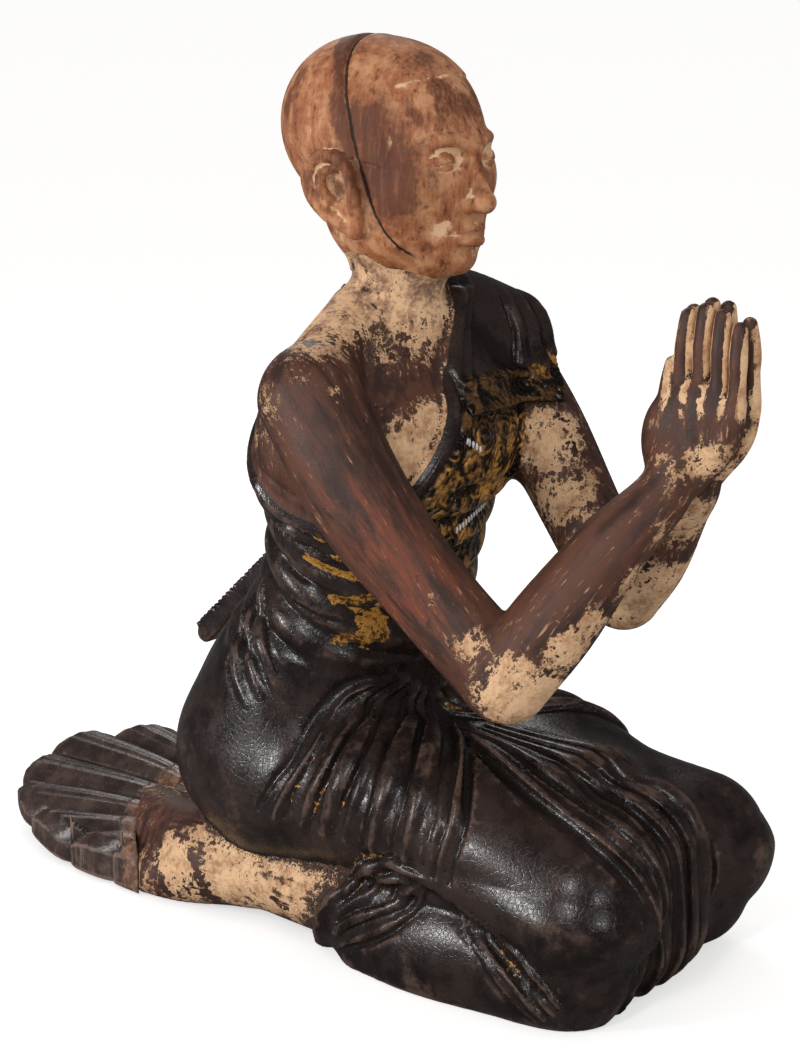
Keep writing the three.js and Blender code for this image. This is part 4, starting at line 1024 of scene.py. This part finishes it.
class Finish(Wiring):                        # short ways to wire one material
    def __init__(self, name, patterned=True):
        self.material = bpy.data.materials.new(name)
        self.material.use_nodes = True
        super().__init__(self.material.node_tree, "ShaderNode")
        self.shader = self.tree.nodes["Principled BSDF"]
        if patterned:
            self.place = self.node("TexCoord", {}).outputs["Object"]

    def show(self, colour, roughness):
        self.put(self.shader.inputs["Base Color"], colour)
        self.put(self.shader.inputs["Roughness"], roughness)

    def attribute(self, name):
        return self.node("Attribute", {}, attribute_name=name).outputs["Fac"]

    def noise(self, scale, detail=4.0, roughness=0.55, vector=None, distortion=0.0):
        inputs = {"Vector": vector or self.place, "Scale": scale, "Detail": detail, "Roughness": roughness,
                  "Distortion": distortion}
        return self.node("TexNoise", inputs).outputs["Fac"]

    def vectors(self, kind, a, b, output=0):
        given = {0: a, "Scale" if kind == "SCALE" else 1: b}
        return self.node("VectorMath", given, operation=kind).outputs[output]

    def warped(self, scale, amount):         # object coordinates pushed about by a noise
        push = self.node("TexNoise", {"Vector": self.place, "Scale": scale, "Detail": 2.0}).outputs["Color"]
        centred = self.vectors("SUBTRACT", push, (0.5, 0.5, 0.5))
        return self.vectors("ADD", self.place, self.vectors("SCALE", centred, amount))

    def cells(self, scale, feature, vector=None):
        inputs = {"Vector": vector or self.place, "Scale": scale}
        return self.node("TexVoronoi", inputs, feature=feature).outputs["Distance"]

    def sum(self, *terms):                   # each term a value, or a value and what it is multiplied by
        total = 0.0
        for term in terms:
            value, share = term if isinstance(term, tuple) else (term, 1.0)
            total = self.node("Math", {0: value, 1: share, 2: total}, operation="MULTIPLY_ADD").outputs[0]
        return total

    def maths(self, kind, a, b=0.0):         # b isn't read where the kind takes one value
        return self.node("Math", {0: a, 1: b}, operation=kind).outputs[0]

    def times(self, a, b):
        return self.maths("MULTIPLY", a, b)

    def step(self, value, low, high):        # 0 below low, 1 above high, smooth between
        inputs = {"Value": value, "From Min": low, "From Max": high}
        return self.node("MapRange", inputs, interpolation_type="SMOOTHSTEP").outputs["Result"]

    def worn(self, low, high, *terms):       # a step on a sum
        return self.step(self.sum(*terms), low, high)

    def colour(self, share, a, b):           # from a to b, which are colours, names of colours or values
        made = self.node("Mix", {}, data_type="RGBA")
        for index, value in ((0, share), (6, a), (7, b)):
            value = lacquer[value] if isinstance(value, str) else value
            if index and isinstance(value, float):
                value = (value,) * 3
            self.put(made.inputs[index], (*value, 1) if isinstance(value, tuple) else value)
        return made.outputs[2]

    def over(self, under, name, share, strength):      # one colour laid thinly over another
        return self.colour(self.times(share, strength), under, name)

    def relieve(self, height, distance, strength=0.9):
        inputs = {"Height": height, "Distance": distance, "Strength": strength}
        self.put(self.shader.inputs["Normal"], self.node("Bump", inputs).outputs["Normal"])


lacquer = {                                  # colours of the finish, as light, not as stored
    "skinDark": (0.038, 0.015, 0.010), "skin": (0.098, 0.034, 0.018), "skinRed": (0.180, 0.038, 0.014),
    "skinTan": (0.40, 0.22, 0.12), "black": (0.008, 0.006, 0.005),
    "cloth": (0.0064, 0.0036, 0.0032), "clothWorn": (0.0270, 0.0162, 0.0138),
    "clothCrest": (0.095, 0.056, 0.041),
    "gesso": (0.62, 0.395, 0.225), "gessoDirty": (0.33, 0.170, 0.085), "dirt": (0.030, 0.016, 0.011),
    "wood": (0.255, 0.080, 0.029), "woodPale": (0.46, 0.225, 0.108), "woodDark": (0.040, 0.014, 0.009),
    "woodRed": (0.31, 0.098, 0.034), "woodBrown": (0.090, 0.023, 0.008), "neckBrown": (0.150, 0.085, 0.062),
    "gold": (0.60, 0.290, 0.060), "goldDark": (0.085, 0.034, 0.010),
    "hem": (0.066, 0.042, 0.035), "hemCrest": (0.150, 0.100, 0.082), "hemChip": (0.19, 0.105, 0.066),
    "hemWood": (0.11, 0.050, 0.030), "hemWoodPale": (0.22, 0.125, 0.080),
}
dullness = {                                 # roughness of each finish, from one end of its wear to the other
    "skin": (0.50, 0.64), "ground": 0.85, "cloth": (0.20, 0.48), "gold": 0.42, "wood": 0.68,
    "hem": (0.24, 0.62),
}
speckles = {                                 # scale, detail and roughness of the noises that make the wear
    "wide": (11, 3), "patch": (52, 8, 0.62), "island": (120, 8, 0.7), "speck": (260, 6, 0.65),
    "dust": (800, 3, 0.6), "streak": (95, 6, 0.66), "scratch": (420, 4, 0.6), "wound": (75, 6, 0.65),
    "hemPatch": (45, 6, 0.6), "hemIsland": (130, 7, 0.68), "hemSpeck": (420, 4, 0.6),
}
grainWays = {                                # the way that the grain runs along each limb
    "upperGrain": (0.04, 0.65, 0.76), "foreGrain": (-0.50, -0.41, 0.76), "calfGrain": (0.0, 1.0, 0.0),
}
roundWaist = (0.50, -0.82, -0.25)            # the way that gilding streaks run round the waist


class Lacquer(Finish):                       # a finish whose grain runs along each limb
    def __init__(self, name):
        super().__init__(name)
        split = self.node("SeparateXYZ", {"Vector": self.place}).outputs
        self.y, self.z = split["Y"], split["Z"]
        folded = self.maths("ABSOLUTE", split["X"])
        mirrored = self.node("CombineXYZ", {"X": folded, "Y": self.y, "Z": self.z}).outputs[0]
        self.drawn = {name: self.drawTogether(mirrored, way) for name, way in grainWays.items()}
        self.upright = self.drawTogether(self.place, (0.0, 0.0, 1.0))

    def drawTogether(self, vector, way):     # squeezed along one direction, so that a pattern streaks
        squeezed = 0.87
        dot = self.vectors("DOT_PRODUCT", vector, way, "Value")
        return self.vectors("ADD", vector, self.vectors("SCALE", way, self.times(dot, -squeezed)))

    def grain(self, scale, detail, roughness):
        value = self.noise(scale, detail, roughness, vector=self.upright)
        for name, vector in self.drawn.items():
            limb = self.noise(scale, detail, roughness, vector=vector)
            value = self.sum(value, self.times(self.attribute(name), self.sum(limb, (value, -1.0))))
        return value


def wornLacquer():
    f = Lacquer("wornLacquer")
    cloth, bareHead, gesso, gilt, relief = [
        f.attribute(n) for n in ("cloth", "head", "bareWood", "gilding", "relief")]
    smoke, red, groove, crest, pale = [
        f.attribute(n) for n in ("smoked", "reddened", "groove", "crest", "paled")]
    wide, island, speck, dust = [f.noise(*speckles[n]) for n in ("wide", "island", "speck", "dust")]
    patch = f.noise(*speckles["patch"], distortion=0.3)
    streak, scratch = f.grain(*speckles["streak"]), f.grain(*speckles["scratch"])
    wound = f.noise(*speckles["wound"], vector=f.drawTogether(f.place, roundWaist))

    # Where the lacquer has come off down to the pale ground, and where gold is left
    isCloth = f.worn(0.42, 0.58, cloth, (speck, 0.3), -0.15)
    onSkin = f.sum(1.0, (isCloth, -1.0))
    loose = f.worn(0.50, 0.56, gesso, (patch, 1.7), (island, 1.1), (speck, 0.9), (streak, 1.2), -2.45)
    flaked = f.times(loose, onSkin)
    gilded = f.worn(0.10, 0.18, (gilt, 1.1), (patch, 1.1), (wound, 1.9), (island, 0.5), (groove, 0.2), -2.50)
    inGroove = f.worn(0.50, 0.58, (groove, 0.8), (crest, 0.35), (island, 1.6), (speck, 1.2), gilt, -2.1)
    gold = f.times(f.maths("MAXIMUM", gilded, f.times(inGroove, 0.9)), isCloth)

    # The pale ground, stained, with islands of lacquer left on it
    dirty = f.worn(0.30, 0.75, (patch, 1.2), (speck, 0.8), (streak, 0.5), -0.8)
    ground = f.colour(dirty, "gesso", "gessoDirty")
    left = f.worn(1.25, 1.36, (island, 1.3), (streak, 0.9), (dust, 0.4), (groove, 0.25), (gesso, -0.22))
    grimy = f.worn(0.10, 0.55, smoke, (patch, 1.3), (speck, 0.9), (streak, 0.4), -1.75)
    ground = f.over(ground, "neckBrown", grimy, 0.85)
    ground = f.over(ground, "skinDark", left, 0.92)
    ground = f.colour(f.worn(0.64, 0.74, dust, (groove, 0.25)), ground, "dirt")

    # Brown lacquer of the skin, worn along the grain
    skin = f.colour(f.worn(0.28, 0.62, streak, (wide, 0.6), (patch, 0.4), -0.55), "skinDark", "skin")
    skin = f.colour(f.worn(0.25, 0.62, (streak, 1.3), (red, 0.5), (scratch, 0.4), -0.92), skin, "skinRed")
    tan = f.worn(1.12, 1.24, scratch, (streak, 0.6), (island, 0.3), (gesso, 0.20), (crest, 0.06))
    skin = f.over(skin, "skinTan", tan, 0.8)

    # Black lacquer of the cloth, browner where it has rubbed, with shade painted near-black into the grooves,
    # and an ornament of rings and scrolls
    robeColour = f.colour(f.worn(0.50, 0.85, (wide, 0.7), (patch, 0.7)), "cloth", "clothWorn")
    rubbedOff = f.worn(0.10, 0.60, (crest, 0.9), patch, (speck, 0.5), (groove, -0.3), -1.05)
    robeColour = f.over(robeColour, "clothCrest", rubbedOff, 0.8)
    # painted shade: near-black laid into the grooves of the folds, where shade falls
    robeColour = f.over(robeColour, "black", f.worn(0.45, 0.9, groove, (speck, 0.3)), 0.85)
    rings = f.times(f.cells(52, "F1", f.warped(26, 0.012)), 2 * math.pi * 3.2)
    scroll = f.sum((f.maths("SINE", rings), 0.5), 0.5)
    ochre = f.colour(f.worn(0.55, 0.90, (patch, 0.8), (speck, 0.6)), "goldDark", "gold")
    kept = f.worn(1.52, 1.80, (scroll, 0.22), (patch, 1.4), (island, 0.9), (streak, 0.9), (groove, -0.4))
    onBreast = f.step(f.z, 0.424, 0.418)
    ornament = f.colour(f.times(kept, f.sum(0.22, (onBreast, 0.78))), "cloth", ochre)
    robeColour = f.colour(relief, robeColour, ornament)

    # Bare wood of the head, with a pale wear in its hollows and dark smoky places
    wood = f.colour(f.worn(0.80, 1.25, (patch, 0.9), (streak, 0.5), (wide, 0.6)), "wood", "woodRed")
    paler = f.worn(1.52, 1.86, (patch, 1.3), (wide, 0.5), (streak, 0.9), (island, 0.5), (groove, 0.3))
    wood = f.over(wood, "woodPale", paler, 0.95)
    chalk = f.worn(1.62, 1.76, (island, 1.3), (patch, 0.8), (speck, 0.6), (pale, 0.25))
    wood = f.over(wood, "gesso", chalk, 0.7)
    wood = f.over(wood, "woodBrown", f.worn(1.50, 1.28, (wide, 1.3), patch, (streak, 0.7)), 0.8)
    wood = f.over(wood, "woodBrown", f.worn(1.06, 0.90, (island, 0.9), (streak, 0.9), (scratch, 0.5)), 0.75)
    wood = f.over(wood, "woodPale", f.worn(0.56, 0.86, (scratch, 0.8), (dust, 0.5)), 0.34)
    paleHere = [(pale, 1.15), (groove, 0.9), (patch, 1.2), (island, 0.6), (speck, 0.4), -1.50]
    wood = f.over(wood, "gesso", f.worn(0.36, 0.56, *paleHere), 0.9)
    stain = f.worn(0.10, 0.62, (smoke, 0.9), (patch, 1.7), (island, 0.8), (speck, 0.6), -1.66)
    dark = f.worn(0.35, 0.75, (smoke, 1.1), (patch, 1.1), (island, 0.4), -1.3)
    smoky = f.colour(f.times(dark, 0.7), "woodBrown", "woodDark")
    smoky = f.over(smoky, "wood", f.worn(0.80, 1.10, streak, (scratch, 0.7)), 0.5)
    wood = f.over(wood, smoky, stain, 0.9)

    # The open joint over the head, on the line that seamY gives, a little uneven
    fromTop = f.sum(head["top"] * metres, (f.z, -1.0))
    wave = f.maths("SINE", f.times(fromTop, 1 / 0.026))
    off = f.sum(f.y, (fromTop, 0.39), (wave, 0.0035), (patch, 0.003), -0.0285)
    joint = f.times(f.step(f.maths("ABSOLUTE", off), 0.0015, 0.0006), f.step(f.z, 0.552, 0.560))
    wood = f.over(wood, "black", joint, 0.95)

    goldColour = f.colour(f.worn(0.98, 1.14, (speck, 0.8), (wound, 0.8), (dust, 0.4)), "gold", "goldDark")
    isHead = f.step(bareHead, 0.35, 0.65)
    body = f.colour(gold, f.colour(isCloth, f.colour(flaked, skin, ground), robeColour), goldColour)
    rough = f.colour(flaked, f.colour(f.step(streak, 0.4, 0.6), *dullness["skin"]), dullness["ground"])
    dull = f.worn(0.75, 1.15, (dust, 0.9), (speck, 0.6), (patch, 0.3))
    rough = f.colour(isCloth, rough, f.colour(dull, *dullness["cloth"]))
    rough = f.colour(gold, rough, dullness["gold"])
    f.show(f.colour(isHead, body, wood), f.colour(isHead, rough, dullness["wood"]))
    f.put(f.shader.inputs["Specular IOR Level"], 0.4)
    f.put(f.shader.inputs["Metallic"], f.times(gold, 0.5))

    crackle = f.step(f.cells(230, "DISTANCE_TO_EDGE"), 0.0, 0.10)
    grit = f.times(f.sum((speck, 0.30), (streak, 0.45), (scratch, 0.22)), f.sum(0.30, (onSkin, 0.70)))
    raised = f.times(f.times(relief, isCloth), scroll)
    f.relieve(f.sum(grit, (flaked, -0.55), (f.times(left, flaked), 0.45), (gold, -0.12), (crackle, 0.05),
                    (f.times(joint, isHead), -1.0), (raised, 2.2)), 0.0011)
    return f.material


# Dark lacquer, browner along the backs of the pleats, chipped at their ends and torn along the joint, with
# shade painted near-black into the grooves
def hemLacquer():
    f = Finish("hemLacquer")
    groove, crest = f.attribute("groove"), f.attribute("crest")
    patch, island, speck = [f.noise(*speckles[n]) for n in ("hemPatch", "hemIsland", "hemSpeck")]
    base = f.colour(f.worn(0.50, 0.85, patch, (speck, 0.3)), "clothWorn", "hem")
    worn = f.worn(0.12, 0.60, (crest, 0.9), patch, (island, 0.6), -1.0)
    base = f.over(base, "hemCrest", worn, 0.85)
    chipped = f.worn(0.34, 0.42, (crest, 0.5), (island, 1.3), (speck, 0.5), -1.0)
    base = f.over(base, "hemChip", chipped, 0.8)
    # painted shade: near-black laid into the grooves between the pleats
    base = f.over(base, "black", f.worn(0.5, 1.0, (groove, 0.8), (speck, 0.3)), 0.8)
    near = f.node("SeparateXYZ", {"Vector": f.place}).outputs
    across = f.times(near["X"], 1 / (metres * split["halfWidth"]))
    bow = -metres * (split["middleY"] - split["sideY"])
    joint = f.sum(metres * split["middleY"], (f.times(across, across), bow))
    torn = f.worn(0.0, -0.006, near["Y"], (joint, -1.0), (patch, -0.030), (island, -0.012))
    base = f.over(base, f.colour(f.step(island, 0.45, 0.6), "hemWood", "hemWoodPale"), torn, 0.9)
    f.show(base, f.colour(f.worn(0.35, 0.9, (speck, 0.7), (worn, 0.5)), *dullness["hem"]))
    f.relieve(f.sum((island, 0.5), (speck, 0.35), (torn, -1.2), (chipped, -0.4)), 0.0010)
    return f.material


clay = shapeFigure()
report("figure carved")
points, quads = surfaceOf(clay)
report("surface of %d faces" % len(quads))
figure = thinned(meshFrom("carvedFigure", points, quads), sculpt["triangles"])
report("figure thinned to %d" % len(figure.data.polygons))


readSurface(figure, clay)
figure.data.materials.append(wornLacquer())
report("figure finished")
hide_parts("figure")
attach(figure, "root")

beads = {
    "spacing": 4.4, "radius": 1.2, "height": 3.0, "uneven": (0.75, 1.15), "proud": 0.2,
    "colour": (0.62, 0.58, 0.56), "dullness": 0.4,
    "rows": [[(-20, -80, 415), (-12, -80, 411), (-4, -80, 406)],
             [(-6, -60, 338), (18, -58, 345), (42, -54, 350)]],
}


def beadTree(material):                      # small upright beads in a row along a line
    f = Wiring(bpy.data.node_groups.new("beadRow", "GeometryNodeTree"))
    face = f.tree.interface
    face.new_socket("Geometry", in_out="INPUT", socket_type="NodeSocketGeometry")
    sizes = {"Spacing": beads["spacing"], "Radius": beads["radius"], "Height": beads["height"]}
    for name in sizes:
        face.new_socket(name, in_out="INPUT", socket_type="NodeSocketFloat")
    face.new_socket("Geometry", in_out="OUTPUT", socket_type="NodeSocketGeometry")
    given = f.node("NodeGroupInput", {}).outputs
    line = f.node("GeometryNodeMeshToCurve", {"Mesh": given["Geometry"]}).outputs["Curve"]
    evenly = f.node("GeometryNodeResampleCurve", {"Curve": line, "Length": given["Spacing"]}, mode="LENGTH")
    bead = f.node("GeometryNodeMeshIcoSphere", {"Radius": given["Radius"], "Subdivisions": 2}).outputs["Mesh"]
    least, most = beads["uneven"]
    uneven = f.node("FunctionNodeRandomValue", {2: least, 3: most, "Seed": 5}, data_type="FLOAT").outputs[1]
    ratio = f.node("ShaderNodeMath", {0: given["Height"], 1: given["Radius"]}, operation="DIVIDE").outputs[0]
    tall = f.node("ShaderNodeMath", {0: ratio, 1: uneven}, operation="MULTIPLY").outputs[0]
    size = f.node("ShaderNodeCombineXYZ", {"X": 1.0, "Y": 1.0, "Z": tall}).outputs[0]
    spots = {"Points": evenly.outputs["Curve"], "Instance": bead, "Scale": size}
    row = f.node("GeometryNodeInstanceOnPoints", spots).outputs["Instances"]
    real = f.node("GeometryNodeRealizeInstances", {"Geometry": row}).outputs["Geometry"]
    finished = f.node("GeometryNodeSetMaterial", {"Geometry": real, "Material": material}).outputs["Geometry"]
    f.node("NodeGroupOutput", {"Geometry": finished})
    return f.tree, sizes


def setBeads(clay):                          # rows of small pale beads set in the breast ornament
    points, edges = [], []
    for row in beads["rows"]:
        path = clay.settle(smoothPath(row, 6))
        path = path + clay.outward(path) * beads["proud"]
        edges += [(len(points) + i, len(points) + i + 1) for i in range(len(path) - 1)]
        points += list(path)
    mesh = bpy.data.meshes.new("beadLines")
    mesh.from_pydata([tuple(p * metres) for p in points], edges, [])
    piece = placed("inlaidBeads", mesh)
    lead = Finish("beadLead", patterned=False)
    lead.show((*beads["colour"], 1), beads["dullness"])
    tree, sizes = beadTree(lead.material)
    rows = piece.modifiers.new("beadRow", "NODES")
    rows.node_group = tree
    for item in tree.interface.items_tree:
        if item.in_out == "INPUT" and item.name in sizes:
            rows[item.identifier] = sizes[item.name] * metres
    settledMesh(piece, rows)
    smoothShaded(piece.data)
    return piece


breastBeads = setBeads(clay)
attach(breastBeads, "root")
report("beads set, %d" % len(breastBeads.data.polygons))

hem = thinned(meshFrom("pleatedHem", *surfaceOf(shapeFan())), sculpt["hemTriangles"])
fine, broad = reliefOf(hem.data, (6, 40))
shadeOf(hem.data, {"groove": -fine / 0.5, "crest": fine / 0.5 + broad * 0.1})
hem.data.materials.append(hemLacquer())
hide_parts("hem_fan")
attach(hem, "root")
report("hem fan carved, %d" % len(hem.data.polygons))

# The camera stands where the photograph was taken from
view = {
    "azimuth": -52.3, "height": 13.9, "distance": 1904, "aim": (-2.4, 0, 328.4),
    "focal": 2344, "pictureHeight": 1060, "sensor": 36,
}
room = {                                     # brightness where it is seen, where it lights and in reflections
    "seen": 1.0, "lights": 0.74, "reflected": 0.08, "tint": (1, 0.995, 0.99, 1), "floorSize": 90.0,
    "floor": (0.93, 0.925, 0.92, 1), "floorReflected": (0.16, 0.155, 0.15, 1),
    "floorGlow": (1.62, 1.61, 1.60, 1), "glowShare": 0.36,
}
lights = [                                   # name, place, size, watts
    ("window", (-2.5, -0.7, 1.9), (0.35, 0.6), 24), ("side", (-2.2, 1.2, 0.7), (0.30, 0.45), 27),
    ("fill", (-1.4, -2.6, 1.0), (0.30, 0.45), 12), ("rim", (1.6, 1.6, 1.8), (0.8, 1.2), 14),
]


def facing(way):                             # turned so that a camera or a light looks along it
    return way.to_track_quat("-Z", "Y").to_euler()


def placeCamera():
    a, e = math.radians(view["azimuth"]), math.radians(view["height"])
    away = Vector((math.sin(a) * math.cos(e), -math.cos(a) * math.cos(e), math.sin(e)))
    camera = placed("camera", bpy.data.cameras.new("camera"))
    camera.data.sensor_fit = "VERTICAL"
    camera.data.sensor_height = view["sensor"]
    camera.data.lens = view["sensor"] * view["focal"] / view["pictureHeight"]
    camera.location = Vector(view["aim"]) * metres + away * view["distance"] * metres
    camera.rotation_euler = facing(-away)
    bpy.context.scene.camera = camera


def softLight(name, place, size, power):
    data = bpy.data.lights.new(name, "AREA")
    data.shape = "RECTANGLE"
    data.size, data.size_y = size
    data.energy = power
    light = placed(name, data)
    light.location = place
    light.rotation_euler = facing(Vector((0, 0, 0.3)) - Vector(place))


def paleFloor():                             # darker where it is only seen in the lacquer's shine
    f = Finish("paleFloor", patterned=False)
    f.show(room["floor"], 0.8)
    rays = f.node("LightPath", {}).outputs
    shine = f.node("BsdfDiffuse", {"Color": room["floorReflected"]}).outputs[0]
    glow = f.node("Emission", {"Color": room["floorGlow"], "Strength": rays["Is Camera Ray"]}).outputs[0]
    lit = f.node("MixShader", {0: room["glowShare"], 1: f.shader.outputs[0], 2: glow}).outputs[0]
    seen = f.node("MixShader", {0: rays["Is Glossy Ray"], 1: lit, 2: shine}).outputs[0]
    f.put(f.tree.nodes["Material Output"].inputs["Surface"], seen)
    return f.material


def paleRoom():
    world = bpy.data.worlds.new("paleRoom")
    world.use_nodes = True
    f = Wiring(world.node_tree, "ShaderNode")
    rays = f.node("LightPath", {}).outputs
    seen = {"Value": rays["Is Camera Ray"], "To Min": room["lights"], "To Max": room["seen"]}
    direct = f.node("MapRange", seen).outputs["Result"]
    mirrored = {"Value": rays["Is Glossy Ray"], "To Min": direct, "To Max": room["reflected"]}
    back = f.tree.nodes["Background"].inputs
    f.put(back["Strength"], f.node("MapRange", mirrored).outputs["Result"])
    f.put(back["Color"], room["tint"])
    return world


def studio():
    mesh = bpy.data.meshes.new("floor")
    size = room["floorSize"]
    corners = [(-size, -size, 0), (size, -size, 0), (size, size, 0), (-size, size, 0)]
    mesh.from_pydata(corners, [], [(0, 1, 2, 3)])
    mesh.materials.append(paleFloor())
    floor = placed("floor", mesh)
    bpy.context.scene.world = paleRoom()
    bpy.context.scene.view_settings.view_transform = "Standard"
    for light in lights:
        softLight(*light)


placeCamera()
studio()
report("camera and lights")
